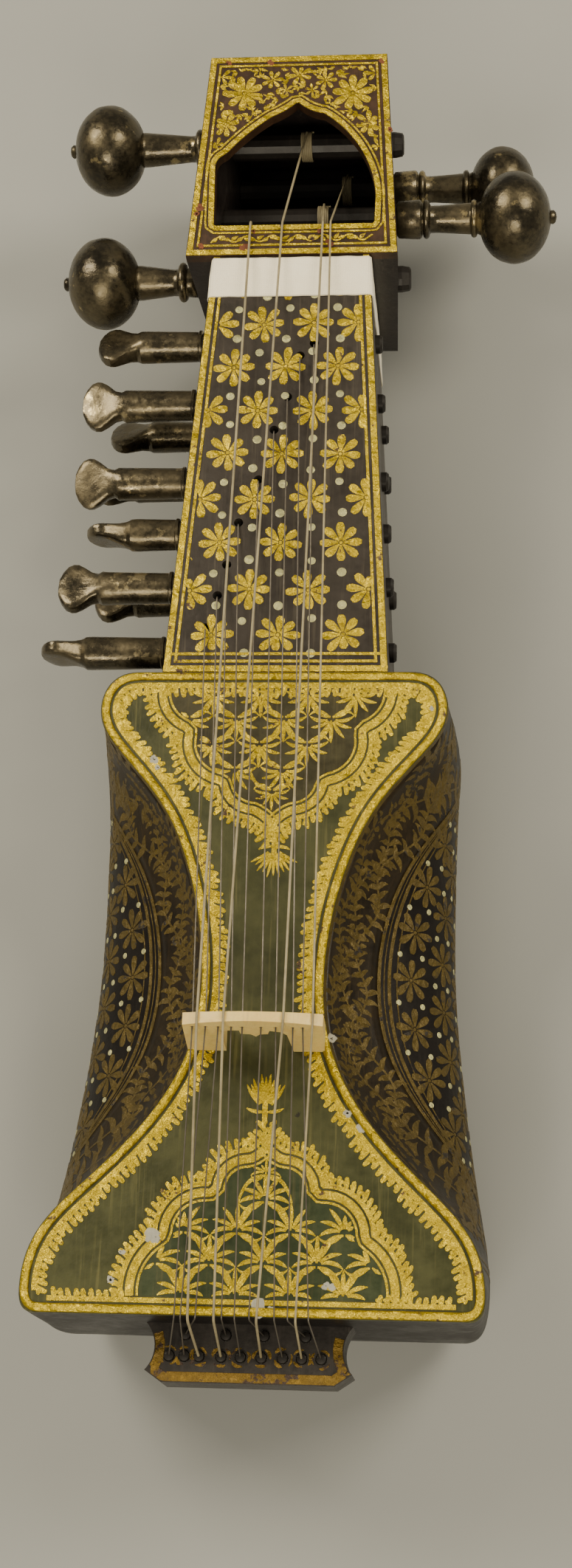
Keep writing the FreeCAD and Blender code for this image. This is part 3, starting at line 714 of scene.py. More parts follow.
BELLY = lacquer(
    "olive_lacquer", base=(0.024, 0.027, 0.009), tone=(0.058, 0.060, 0.017),
    streak=(0.13, 0.12, 0.04), streak_strength=0.6, chip=(0.014, 0.013, 0.007), chips=0.34,
    gloss=0.34, mottle_scale=45.0,
)
NECK = lacquer(
    "neck_lacquer", base=(0.018, 0.014, 0.011), tone=(0.034, 0.027, 0.021),
    streak=(0.07, 0.058, 0.042), streak_strength=0.7, chip=(0.014, 0.01, 0.007), chips=0.2,
    gloss=0.36,
)
FLANK = lacquer(
    "flank_lacquer", base=(0.005, 0.004, 0.004), tone=(0.010, 0.008, 0.007),
    streak=(0.03, 0.025, 0.02), streak_strength=0.3, chip=(0.022, 0.014, 0.008), chips=0.22,
    gloss=0.3, shine=0.16,
)
BAND_FIELD = lacquer(
    "band_lacquer", base=(0.006, 0.004, 0.002), tone=(0.022, 0.014, 0.005),
    streak=(0.055, 0.036, 0.012), streak_strength=0.4, chip=(0.006, 0.004, 0.003), chips=0.45,
    gloss=0.36, mottle_scale=110.0, shine=0.2,
)
UPPER_FIELD = lacquer(
    "upper_field", base=(0.024, 0.021, 0.010), tone=(0.052, 0.046, 0.018),
    streak=(0.12, 0.1, 0.04), streak_strength=0.4, chip=(0.02, 0.012, 0.008), chips=0.2,
    gloss=0.3, mottle_scale=90.0,
)
LOWER_FIELD = lacquer(
    "lower_field", base=(0.018, 0.028, 0.012), tone=(0.040, 0.052, 0.020),
    streak=(0.12, 0.1, 0.04), streak_strength=0.4, chip=(0.02, 0.014, 0.008), chips=0.25,
    gloss=0.3, mottle_scale=90.0,
)
HEAD_FIELD = lacquer(
    "head_field", base=(0.020, 0.014, 0.009), tone=(0.055, 0.026, 0.013),
    streak=(0.12, 0.06, 0.025), streak_strength=0.3, chip=(0.012, 0.009, 0.008), chips=0.3,
    gloss=0.34, mottle_scale=110.0,
)
HEAD = lacquer(
    "head_lacquer", base=(0.012, 0.010, 0.010), tone=(0.022, 0.017, 0.016),
    streak=(0.07, 0.06, 0.05), streak_strength=0.35, chip=(0.045, 0.03, 0.02), chips=0.2,
    gloss=0.3,
)
TAIL = lacquer(
    "tail_lacquer", base=(0.014, 0.012, 0.011), tone=(0.035, 0.03, 0.026),
    streak=(0.08, 0.07, 0.06), streak_strength=0.4, chip=(0.015, 0.011, 0.009), chips=0.35,
    gloss=0.4, mottle_scale=120.0,
)
GESSO = lacquer(
    "gesso", base=(0.30, 0.30, 0.25), tone=(0.42, 0.41, 0.34), streak=(0.22, 0.2, 0.16),
    streak_strength=0.5, chip=(0.14, 0.12, 0.08), chips=0.5, gloss=0.7, mottle_scale=260.0,
)
BRONZE = tarnished(
    "knob_bronze", dark=(0.035, 0.031, 0.024), warm=(0.15, 0.125, 0.075), shine=(0.5, 0.4, 0.2),
    hammer=0.8,
)
STEM = tarnished(
    "stem_bronze", dark=(0.05, 0.044, 0.032), warm=(0.2, 0.165, 0.1), shine=(0.55, 0.44, 0.22),
    hammer=0.4, amount=0.7,
)
SMALL = tarnished(
    "thumb_bronze", dark=(0.05, 0.044, 0.032), warm=(0.2, 0.165, 0.1), shine=(0.55, 0.45, 0.25),
    hammer=0.6, amount=0.6,
)
BONE = bone()
GUT = cord_finish(
    "gut", pale=(0.36, 0.31, 0.19), dark=(0.20, 0.17, 0.10), rough=0.5,
)
WIRE = cord_finish(
    "wire", pale=(0.20, 0.18, 0.15), dark=(0.10, 0.09, 0.08), rough=0.4, metal=0.7,
)
COTTON = cotton()

CAD_FINISHES = {
    "body_back": FLANK,
    "body_left": FLANK,
    "body_right": FLANK,
    "belly_skin": BELLY,
    "neck_shell": NECK,
    "pegbox_shell": HEAD,
    "pegbox_front": HEAD_FIELD,
    "tail_block": TAIL,
    "bridge": BONE,
}


def paint_cad():
    """Gives every carried-over part its finish. Cords that aren't listed are gut."""
    for name, node in NODES.items():
        material = CAD_FINISHES.get(name, GUT)
        if name.startswith("sympathetic_wire"):
            material = WIRE
        node.data.materials.clear()
        node.data.materials.append(material)


# ---------------------------------------------------------------- belly

BELLY_TOP = high("belly_skin").z
RIM_WIDTH = 2.9
RIM_MIDDLE = 1.45
FOOT = low("belly_skin").y
SHOULDER = high("belly_skin").y


def belly_edge():
    """The right half of the belly's outline, from the middle of the foot to the neck."""
    loop = anticlockwise(face_loops("belly_skin")[0])
    count = len(loop)
    start = next(i for i in range(count) if loop[i - 1].x <= 0 < loop[i].x and loop[i].y < 0)
    right = []
    for k in range(count):
        point = loop[(start + k) % count]
        if point.x <= 0:
            break
        right.append(point)
    ends = Vector((0, right[0].y, BELLY_TOP)), Vector((0, right[-1].y, BELLY_TOP))
    return resample([ends[0]] + right + [ends[1]], 1.2)


EDGE = belly_edge()


def rim_path(inset, side):
    """A path along the belly's edge, drawn in, on one side."""
    drawn = []
    for point in flat_offset(EDGE, inset):
        if min((point - p).length for p in EDGE) >= inset * 0.96:
            drawn.append(point)
    path = resample(drawn, 1.2)
    for _ in range(4):
        inner = [(a + b * 2 + c) / 4 for a, b, c in zip(path, path[1:], path[2:])]
        path = path[:1] + inner + path[-1:]
    return [Vector((side * p.x, p.y, p.z)) for p in path]


def belly_border():
    """The rounded gilt moulding, a dark groove, a gilt strip and its leafy fringe."""
    rng = random.Random(11)
    rim = Relief(flat(BELLY_TOP), 0.95, section=ROUND)
    trim = Relief(flat(BELLY_TOP), 0.2)
    neck_side = SHOULDER - 1.0
    for side in (-1, 1):
        rim.line(rim_path(RIM_MIDDLE, side), RIM_WIDTH)
        strip = [p for p in rim_path(4.5, side) if FOOT + 5.5 < p.y < neck_side - 3.0]
        trim.line(strip, 2.0)
        drift = Vector((0, -0.7, 0))
        fringe(trim, strip, side, drift, 4.1, 2.1, 2.3, rng)
        foot = [Vector((side * x, FOOT + 4.3, 0)) for x in (36, 42, 48, 54, 58)]
        fringe(trim, foot, side, Vector((0, 0.3, 0)), 2.8, 1.9, 2.2, rng)
    trim.line(line_points(-59.0, FOOT + 4.2, 59.0, FOOT + 4.2), 1.6)
    trim.line(line_points(-42.0, SHOULDER - 4.3, 42.0, SHOULDER - 4.3), 1.5)
    piece = rim.add("belly_rim_moulding", GOLD)
    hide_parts("belly_rim")
    trim.add("belly_fringe", GOLD)


def line_points(x0, y0, x1, y1, step=4.0):
    return resample([Vector((x0, y0, 0)), Vector((x1, y1, 0))], step)


def lobed(centre, arcs):
    """A lobed outline, mirrored about its middle: right end, tip, left end."""
    half = []
    for points in arcs:
        half += arc(*points)[:-1]
    half.append(Vector(arcs[-1][2]))
    right = [Vector((centre + p.x, p.y, BELLY_TOP)) for p in half]
    left = [Vector((centre - p.x, p.y, BELLY_TOP)) for p in reversed(half[:-1])]
    return resample(right + left, 0.9)


UPPER_MIDDLE = 1.0
UPPER_ARCS = [
    ((37.6, 87.8), (35.9, 79.3), (28.6, 72.8)),
    ((28.6, 72.8), (26.6, 61.6), (17.0, 55.2)),
    ((17.0, 55.2), (13.6, 48.8), (6.4, 45.6)),
    ((6.4, 45.6), (2.5, 42.8), (0.0, 38.4)),
]
LOWER_MIDDLE = 3.3
LOWER_ARCS = [
    ((40.0, -100.9), (38.3, -90.6), (31.0, -82.4)),
    ((31.0, -82.4), (27.2, -73.0), (16.0, -68.9)),
    ((16.0, -68.9), (12.6, -61.6), (5.2, -58.8)),
    ((5.2, -58.8), (2.1, -56.6), (0.0, -52.6)),
]


def medallion(name, outline, inward, drift, anchors, turn, cell, field):
    """A lobed panel: leafy fringe, gilt bands with dark grooves, and a field of palmettes."""
    rng = random.Random(len(name))
    edge = Relief(flat(BELLY_TOP), 0.2)
    edge.line(flat_offset(outline, -inward * 0.9), 1.6)
    fringe(edge, flat_offset(outline, -inward * 1.3), -inward, drift, 3.5, 1.9, 2.1, rng)
    edge.line(flat_offset(outline, inward * 1.75), 2.7)
    edge.line(flat_offset(outline, inward * 4.0), 0.75)
    edge.add(f"{name}_border", GOLD)
    inner = flat_offset(outline, inward * 4.1)
    field_plate(f"{name}_field", inner, 0.07, field)
    limit = flat_offset(outline, inward * 4.5)
    motifs = Relief(flat(BELLY_TOP + 0.07), 0.16, keep=lambda p: is_inside(p, limit))
    for x, y, size in anchors:
        place = level_frame(x, y, BELLY_TOP, turn)
        palmette(motifs, place, size, cell, rng)
    motifs.add(f"{name}_palmettes", GOLD)


def field_plate(name, outline, thick, material):
    """A thin plate of painted ground inside an outline."""
    loop = anticlockwise([p.copy() for p in outline])
    level = BELLY_TOP
    count = len(loop)
    verts = [Vector((p.x, p.y, level - 0.1)) for p in loop]
    verts += [Vector((p.x, p.y, level + thick)) for p in loop]
    triangles = geometry.tessellate_polygon([[Vector((p.x, p.y, 0)) for p in loop]])
    faces = []
    for a, b, c in triangles:
        flip = (loop[b] - loop[a]).cross(loop[c] - loop[a]).z < 0
        a, c = (c, a) if flip else (a, c)
        faces.append((a + count, b + count, c + count))
        faces.append((c, b, a))
    for k in range(count):
        after = (k + 1) % count
        faces.append((k, after, after + count, k + count))
    piece = add_mesh(name, verts, faces, material, smooth=False)


def lattice(middle, first, step, wide, size, rows):
    """Staggered rows of palmettes: (row shift, places across) for each row."""
    spots = []
    for row, (shift, columns) in enumerate(rows):
        for column in columns:
            spots.append((middle + (column + shift) * wide, first + step * row, size))
    return spots


def tassel(relief, x, y, aim, size):
    """The tuft of long blades that hangs from, or crowns, a medallion's tip."""
    place = level_frame(x, y, BELLY_TOP, 0.0 if aim > 0 else math.pi)
    for k in range(-5, 6):
        off = k / 5
        length = size * (1.0 - 0.16 * abs(off)) * (1.0 if k % 2 else 0.9)
        bend = off * (-0.12 if aim > 0 else 0.15)
        lean = off * (0.72 if aim > 0 else 0.8)
        petal(relief, place, lean, size * 0.24, length, size * 0.095, BLADE, bend)
    for side in (-1, 1):
        curl = bezier((side * 0.3, 0.0), (side * size * 0.34, 0.0),
                      (side * size * 0.46, size * 0.1), 7)
        relief.stroke([place(a, b) for a, b in curl], (0.6, 1.2, 1.0, 0.3))
    relief.line([place(0, b) for b in (-3.4, -1.0, 1.0, size * 0.4)], 1.7)


def belly_medallions():
    """The two lobed panels of palmettes, and the tuft on each one's tip."""
    upper = lobed(UPPER_MIDDLE, UPPER_ARCS)
    anchors = lattice(-3.9, 86.0, -8.4, 14.8, 8.0, [
        (0.0, (-2, -1, 0, 1, 2)),
        (0.5, (-2, -1, 0, 1)),
        (0.0, (-1, 0, 1)),
        (0.5, (-1, 0)),
    ])
    anchors.append((0.6, 53.6, 6.4))
    down = Vector((0, -0.6, 0))
    medallion("upper_medallion", upper, -1, down, anchors, math.pi, (14.8, 8.4), UPPER_FIELD)
    lower = lobed(LOWER_MIDDLE, LOWER_ARCS)
    anchors = lattice(LOWER_MIDDLE, -100.4, 9.2, 15.6, 8.7, [
        (0.5, (-3, -2, -1, 0, 1, 2)),
        (0.0, (-2, -1, 0, 1, 2)),
        (0.5, (-2, -1, 0, 1)),
        (0.0, (-1, 0, 1)),
    ])
    anchors.append((LOWER_MIDDLE, -65.0, 5.0))
    up = Vector((0, 0.6, 0))
    medallion("lower_medallion", lower, 1, up, anchors, 0.0, (15.6, 9.2), LOWER_FIELD)
    finials = Relief(flat(BELLY_TOP), 0.16)
    tassel(finials, UPPER_MIDDLE + 1.0, 35.6, -1, 10.4)
    tassel(finials, LOWER_MIDDLE - 1.0, -46.6, 1, 11.8)
    finials.add("medallion_finials", GOLD)


# ---------------------------------------------------------------- neck


def neck_half(y):
    """Half width of the neck's face."""
    loop = face_loops("neck_shell")[0]
    wide = max(p.x for p in loop)
    narrow = max(p.x for p in loop if p.y > high("neck_shell").y - 0.5)
    start, end = low("neck_shell").y, high("neck_shell").y
    return wide + (narrow - wide) * (y - start) / (end - start)


def neck_ornament():
    """Daisies in staggered rows with silver dots between them, in a gilt frame."""
    rng = random.Random(5)
    level = high("neck_shell").z
    start, end = low("neck_shell").y, high("neck_shell").y
    corners = [Vector((side * neck_half(y), y, level))
               for side, y in ((-1, start), (1, start), (1, end), (-1, end))]
    lines = Relief(flat(level), 0.2)
    for inset, width in ((1.2, 2.2), (3.7, 1.0)):
        framed_line(lines, inset_polygon(corners, inset), width, open_top=True)
    lines.line(line_points(-33, start + 6.2, 33, start + 6.2), 1.0)
    lines.add("neck_frame", GOLD)
    field = inset_polygon(corners, 4.4)
    flowers = Relief(flat(level), 0.09, keep=lambda p: is_inside(p, field) and p.y > start + 7.2)
    dots = Relief(flat(level), 0.12, keep=lambda p: is_inside(p, field))
    rings = Relief(flat(level), 0.16, keep=lambda p: is_inside(p, field))
    rows = 9
    pitch = 16.0
    for row in range(rows):
        y = start + 12.4 + pitch * row
        across = neck_half(y) * 0.6
        even = row % 2 == 0
        blooms = (-1, 0, 1) if even else (-1.42, -0.48, 0.48, 1.42)
        between = (-1.5, -0.5, 0.5, 1.5) if even else (-1, 0, 1)
        for k in blooms:
            spot = (k * across + rng.uniform(-0.6, 0.6), y + rng.uniform(-0.5, 0.5))
            place = level_frame(*spot, level, rng.uniform(-0.12, 0.12))
            daisy(flowers, place, 6.9, rng=rng)
        for k in between:
            for lift in (-5.7, 5.5):
                spot = (k * across + rng.uniform(-0.7, 0.7), y + lift + rng.uniform(-0.5, 0.5))
                radius = rng.uniform(1.35, 1.65)
                dots.dot(level_frame(*spot, level), radius)
                middle = Vector((spot[0], spot[1], level))
                ring = [middle + Vector((math.cos(t), math.sin(t), 0)) * (radius * 0.62)
                        for t in (math.tau * i / 12 for i in range(12))]
                rings.line(ring, 0.35)
    flowers.add("neck_daisies", GOLD)
    dots.add("neck_dots", SILVER)
    rings.add("neck_dot_rings", GOLD)


def framed_line(relief, corners, width, open_top=False):
    """A line along every edge of a polygon, with its corners filled."""
    closed = corners + corners[:1]
    for number, (start, end) in enumerate(zip(closed, closed[1:])):
        if open_top and number == 2:
            continue
        ahead = (end - start).normalized() * (width / 2)
        relief.line(resample([start - ahead, end + ahead], 4.0), width)


# ---------------------------------------------------------------- pegbox


def pegbox_ornament():
    """Gilt frame, the ogee arch's borders, spandrels full of flowers, and a vine on the sill."""
    rng = random.Random(23)
    level = high("pegbox_front").z
    outer, window = face_loops("pegbox_front")[:2]
    corners = anticlockwise(sharp_corners(outer))
    frame_lines = Relief(flat(level), 0.25)
    framed_line(frame_lines, inset_polygon(corners, 1.2), 2.1)
    framed_line(frame_lines, inset_polygon(corners, 3.7), 0.8)
    arch = anticlockwise(window)
    arch = resample(arch + arch[:1], 1.0)
    frame_lines.line(flat_offset(arch, -1.1), 2.0)
    frame_lines.line(flat_offset(arch, -3.0), 0.7)
    frame_lines.add("pegbox_frame", GOLD)
    inner = inset_polygon(corners, 4.4)
    border = flat_offset(arch, -3.6)

    def in_spandrel(point):
        return is_inside(point, inner) and not is_inside(point, border)

    flowers = Relief(flat(level), 0.1, keep=in_spandrel)
    blooms = [
        (-18.3, 306.8, 6.9, 9), (19.0, 306.0, 7.1, 9), (-24.2, 294.4, 5.0, 8),
        (24.9, 293.6, 5.0, 8), (0.6, 313.6, 4.2, 7), (-26.4, 313.6, 3.6, 7),
        (26.6, 313.8, 3.6, 7), (-8.8, 312.0, 3.8, 7), (9.6, 311.4, 3.8, 7),
        (-26.8, 286.0, 3.2, 6), (28.2, 284.4, 3.2, 6), (-28.6, 302.6, 3.0, 6),
        (29.0, 302.2, 3.0, 6), (-3.9, 307.6, 2.6, 6), (5.0, 307.4, 2.6, 6),
    ]
    for x, y, radius, petals in blooms:
        place = level_frame(x, y, level, rng.uniform(0, 1))
        daisy(flowers, place, radius, petals, width=radius * 0.42, rng=rng)
    taken = [(x, y, radius + 0.3) for x, y, radius, _ in blooms]
    fill_with_sprigs(flowers, in_spandrel, taken, (-32, 276, 32, 320), 2.2, 3.0, rng)
    flowers.add("spandrel_flowers", GOLD)
    sill_vine(level, corners, window, rng)
    bole = Relief(flat(level + 0.2), 0.12)
    for x, y, radius in ((-32.0, 262.0, 1.7), (-32.4, 258.6, 1.1), (-31.0, 246.8, 1.5),
                         (-15.6, 245.6, 1.6), (-13.0, 251.6, 1.0), (9.4, 252.2, 1.3),
                         (12.6, 247.0, 1.2), (-9.6, 318.6, 1.4), (28.4, 318.2, 1.2),
                         (32.6, 291.0, 1.1), (-24.0, 319.4, 0.9)):
        for _ in range(2):
            spot = (x + rng.uniform(-0.8, 0.8), y + rng.uniform(-0.8, 0.8))
            size = radius * rng.uniform(0.6, 1.0)
            bole.dot(level_frame(*spot, level + 0.2), size, sides=11, rng=rng)
    bole.add("pegbox_worn_bole", BOLE)


def sharp_corners(loop):
    """The points of a loop where it turns."""
    out = []
    for before, point, after in zip(loop[-1:] + loop[:-1], loop, loop[1:] + loop[:1]):
        into = (point - before).normalized()
        away = (after - point).normalized()
        if into.dot(away) < 0.99:
            out.append(point)
    return out


def fill_with_sprigs(relief, allowed, taken, region, step, size, rng):
    """Small leaves on a jittered grid, wherever there is room between the flowers."""
    x0, y0, x1, y1 = region
    for row in range(int((y1 - y0) / step)):
        for column in range(int((x1 - x0) / step)):
            x = x0 + (column + 0.5 * (row % 2)) * step + rng.uniform(-0.5, 0.5)
            y = y0 + row * step + rng.uniform(-0.5, 0.5)
            point = Vector((x, y, 0))
            if not allowed(point):
                continue
            if any((x - a) ** 2 + (y - b) ** 2 < r * r for a, b, r in taken):
                continue
            spot, normal = relief.surface(point)
            sprig(relief, local_frame(spot, normal, rng.uniform(0, math.tau)), size, rng)


def sill_vine(level, corners, window, rng):
    """A waving stem with a leaf in each bend, on the strip under the window."""
    bottom = min(p.y for p in corners)
    sill = min(p.y for p in window)
    middle = (bottom + 3.9 + sill - 3.2) / 2
    vine = Relief(flat(level), 0.3)
    reach = 27.0
    wave = 8.6
    stem = []
    count = 90
    for i in range(count):
        x = -reach + 2 * reach * i / (count - 1)
        stem.append(Vector((x, middle + 1.15 * math.sin(math.tau * x / wave), 0)))
    vine.line(stem, 0.6)
    for k in range(int(2 * reach / wave * 2)):
        x = -reach + wave / 4 + k * wave / 2
        side = 1 if k % 2 else -1
        place = level_frame(x, middle - side * 0.4, level, rng.uniform(-0.3, 0.3))
        for angle in (-1.2, 1.2):
            aim = angle if side > 0 else math.pi - angle
            petal(vine, place, aim, 0.4, 3.0, 1.5, SPEAR, rng.uniform(-0.4, 0.4), 6)
    vine.add("sill_vine", GOLD)


# ---------------------------------------------------------------- flanks

BODY_NODES = [name for name in NODES if name.startswith("body_")]
FLANK_TOP = BELLY_TOP - 1.0
LINE_CREST = 70.4
LINE_REACH = 72.0
BAND_REACH = 79.0
FLANK_END = 86.0
FRAME_ENDS = (-88.0, -85.6, 85.6, 88.0)
FRAME_SILLS = (7.6, 9.6)
OUTSIDE = 140.0


def line_level(y, below=0.0):
    """Height of the double gilt line that bounds the scooped band, at a Y."""
    along = (y / (LINE_REACH / 2)) ** 2
    return LINE_CREST - 2.4 * along - 1.3 * along * along - below


def flank_ornament():
    """A leafy band under the rim, double gilt lines, and daisies down the sides."""
    rng = random.Random(31)
    surface, tree = wrapped(BODY_NODES)

    def on_side(side, y, z):
        origin = Vector((side * OUTSIDE, y, z))
        hit = tree.ray_cast(origin, Vector((-side, 0, 0)))
        return hit[0], hit[1]

    lines = Relief(surface, 0.14)
    leaves = Relief(surface, 0.12)
    flowers = Relief(surface, 0.12)
    dots = Relief(surface, 0.12)
    steps = 100
    reach = LINE_REACH + 6.0
    for side in (-1, 1):
        for below, width in ((0.0, 1.3), (2.1, 1.3), (1.05, 0.4), (3.7, 0.45)):
            path = []
            for i in range(steps):
                y = -reach + 2 * reach * i / (steps - 1)
                path.append(on_side(side, y, line_level(y, below))[0])
            lines.line(path, width)
        edge = [p - UP * 1.6 for p in rim_path(0.0, side) if abs(p.y) < FLANK_END]
        lines.line(edge, 1.5)
        for y in FRAME_ENDS:
            upright = [on_side(side, y, z)[0] for z in range(9, int(FLANK_TOP) - 1, 3)]
            lines.line(upright, 0.8)
        for z in FRAME_SILLS:
            sill = [on_side(side, y, z)[0] for y in range(-88, 89, 4)]
            lines.line(sill, 0.8)
        foliage_band(leaves, on_side, side, rng)
        flank_flowers(flowers, dots, on_side, side, rng)
    band_ground(on_side)
    # The flank gilt takes the darkened gold, whose darkness is painted shade.
    lines.add("flank_lines", SHADED_GOLD)
    leaves.add("flank_foliage", SHADED_GOLD)
    flowers.add("flank_daisies", SHADED_GOLD)
    dots.add("flank_dots", SILVER)


def foliage_band(leaves, on_side, side, rng):
    """Winding stems along the scooped band, with pairs of curled leaves all the way."""
    wave = 26.0
    steps = 170
    for level, phase in ((0.2, 0.0), (0.5, 2.1), (0.8, 4.2)):
        stem = []
        for i in range(steps):
            y = -BAND_REACH + 2 * BAND_REACH * i / (steps - 1)
            share = level + 0.13 * math.sin(math.tau * y / wave + phase)
            stem.append(on_side(side, y, band_level(y, share)))
        leaves.line([spot for spot, _ in stem], 0.8)
        for i in range(2, steps - 2, 3):
            spot, normal = stem[i]
            ahead = (stem[i + 2][0] - stem[i - 2][0]).normalized()
            depth = band_level(spot.y, 1.0) - band_level(spot.y, 0.0)
            size = min(7.6, 3.0 + depth * 0.16)
            place = local_frame(spot, normal, rng.uniform(-0.2, 0.2), ahead)
            for hand in (-1, 1):
                reach = size * rng.uniform(0.75, 1.1)
                bend = hand * rng.uniform(0.5, 1.1)
                petal(leaves, place, hand * 0.6, 0.2, reach, reach * 0.44, SPEAR, bend, 7)


def band_level(y, share):
    """Height on the scooped band, from its gilt line up to the rim."""
    bottom = line_level(y) + 1.6
    return bottom + (FLANK_TOP - 3.0 - bottom) * share


def flank_flowers(flowers, dots, on_side, side, rng):
    """Daisies in rows that follow the gilt lines, with silver dots between them."""
    pitch = 15.4
    for row, below in enumerate((6.8, 16.2, 27.4, 40.4, 53.4)):
        for column in range(13):
            y = -92.0 + (column + 0.5 * (row % 2)) * pitch
            z = line_level(y) - below
            if z < 8.0 or abs(y) > FLANK_END:
                continue
            spot, normal = on_side(side, y, z)
            if spot is None:
                continue
            place = local_frame(spot, normal, rng.uniform(-0.2, 0.2))
            daisy(flowers, place, 6.9, width=2.6, rng=rng)
            beside_y = y + pitch / 2
            for lift in (-2.6, 2.8):
                level = line_level(beside_y) - below + lift
                if level < 14.0 or abs(beside_y) > BAND_REACH:
                    continue
                beside, facing = on_side(side, beside_y, level)
                dots.dot(local_frame(beside, facing), 1.0)


def band_ground(on_side):
    """The brown ground behind the leafy band, a thin skin on each flank."""
    rows = 9
    columns = 90
    reach = LINE_REACH + 2.0
    verts = []
    faces = []
    for side in (-1, 1):
        base = len(verts)
        for lift in (0.07, -0.5):
            for i in range(columns):
                y = -reach + 2 * reach * i / (columns - 1)
                top, bottom = FLANK_TOP - 1.2, line_level(y)
                for k in range(rows):
                    spot, normal = on_side(side, y, bottom + (top - bottom) * k / (rows - 1))
                    verts.append(spot + normal * lift)
        faces += slab_faces(base, columns, rows, side > 0)
    piece = add_mesh("flank_band_ground", verts, faces, BAND_FIELD)


def slab_faces(base, columns, rows, flip):
    """Faces of a thin slab: a grid, the same grid under it, and the walls between."""
    under = base + columns * rows
    faces = []
    for i in range(columns - 1):
        for k in range(rows - 1):
            a = i * rows + k
            quad = (a, a + rows, a + rows + 1, a + 1)
            faces.append(tuple(base + v for v in quad))
            faces.append(tuple(under + v for v in reversed(quad)))
    border = [i * rows for i in range(columns)]
    border += [(columns - 1) * rows + k for k in range(1, rows)]
    border += [i * rows + rows - 1 for i in reversed(range(columns - 1))]
    border += [k for k in reversed(range(1, rows - 1))]
    for a, b in zip(border, border[1:] + border[:1]):
        faces.append((base + a, under + a, under + b, base + b))
    return [face[::-1] for face in faces] if flip else faces


# ---------------------------------------------------------------- tail block


def tail_ornament():
    """Worn gilt edging on the string block, torn gilding round its holes, and a knot in each hole, near
    black as painted shade.
    """
    rng = random.Random(3)
    loops = face_loops("tail_block")
    base, level = low("tail_block").z, high("tail_block").z
    outline = anticlockwise(loops[0])
    edge = resample(outline + outline[:1], 1.5)
    gilt = Relief(flat(level), 0.12)
    inner = flat_offset(edge, 1.7)
    front = high("tail_block").y - 2.4
    run = longest_run(inner, lambda p: p.y < front)
    gilt.line(run, 2.9)
    middle = low("tail_block").y + 7.6
    # A knot closes each hole near its bottom, coloured near black: painted shade for the dark inside of
    # the holes, not the gut's own colour.
    hole_knot_shade = Relief(flat(base + 3.0), 1.2)
    for loop in loops[1:]:
        centre = sum(loop, Vector()) / len(loop)
        hole_knot_shade.dot(level_frame(centre.x, centre.y, level), 1.72, sides=14)
        if centre.y > middle + 3.0:
            continue
        start = rng.uniform(0, math.tau)
        for part in range(3):
            first = start + part * math.tau / 3
            reach = rng.uniform(2.35, 2.7)
            torn = [centre + Vector((math.cos(t), math.sin(t), 0)) * reach * rng.uniform(0.95, 1.08)
                    for t in (first + 0.27 * i for i in range(6))]
            gilt.stroke(torn, (0.3, rng.uniform(0.6, 1.3), rng.uniform(0.5, 1.5), 0.3))
    gilt.add("tail_gilding", TAIL_GOLD)
    piece = hole_knot_shade.add("hole_knot_painted_shade", PEG_WOOD)


def longest_run(points, allowed):
    """The longest unbroken stretch of a closed path that passes a test."""
    count = len(points)
    start = next(i for i in range(count) if not allowed(points[i]))
    best = []
    run = []
    for i in range(count + 1):
        point = points[(start + i) % count]
        if allowed(point):
            run.append(point)
            continue
        best = max(best, run, key=len)
        run = []
    return best


# ---------------------------------------------------------------- pegs, strings, band


def turned(name, profile, sides, place, material, body, dent=0.0, smooth=True):
    """A closed turned piece: (distance along its axis, radius) from end to end."""
    verts = []
    for along, radius in profile:
        for k in range(sides):
            angle = math.tau * k / sides
            point = Vector((radius * math.cos(angle), radius * math.sin(angle), along))
            if dent and radius > 3.0:
                hollow = 0.5 + 0.5 * noise.noise(point * 0.16)
                hollow += 0.35 * (0.5 + 0.5 * noise.noise(point * 0.42 + Vector((7, 3, 1))))
                point.xy *= 1.0 - dent * hollow / radius
            verts.append(place @ point)
    return add_mesh(name, verts, ring_faces(len(profile), sides), material, smooth, body)


def axis_place(node, side):
    """From a peg's own axis, outwards from the middle, to the instrument."""
    box_low, box_high = low(node), high(node)
    centre = (box_low + box_high) / 2
    turn = Matrix.Rotation(math.radians(90.0 * side), 4, "Y")
    return Matrix.Translation(Vector((0, centre.y, centre.z))) @ turn


def bead(middle, width, base, crest, count=7):
    """A rounded ring on a turned profile."""
    out = []
    for i in range(count):
        angle = math.pi * i / (count - 1)
        along = middle - width / 2 * math.cos(angle)
        out.append((along, base + (crest - base) * math.sin(angle)))
    return out


MAIN_PEGS = (("left_low", -1), ("left_high", -1), ("right_low", 1), ("right_high", 1))


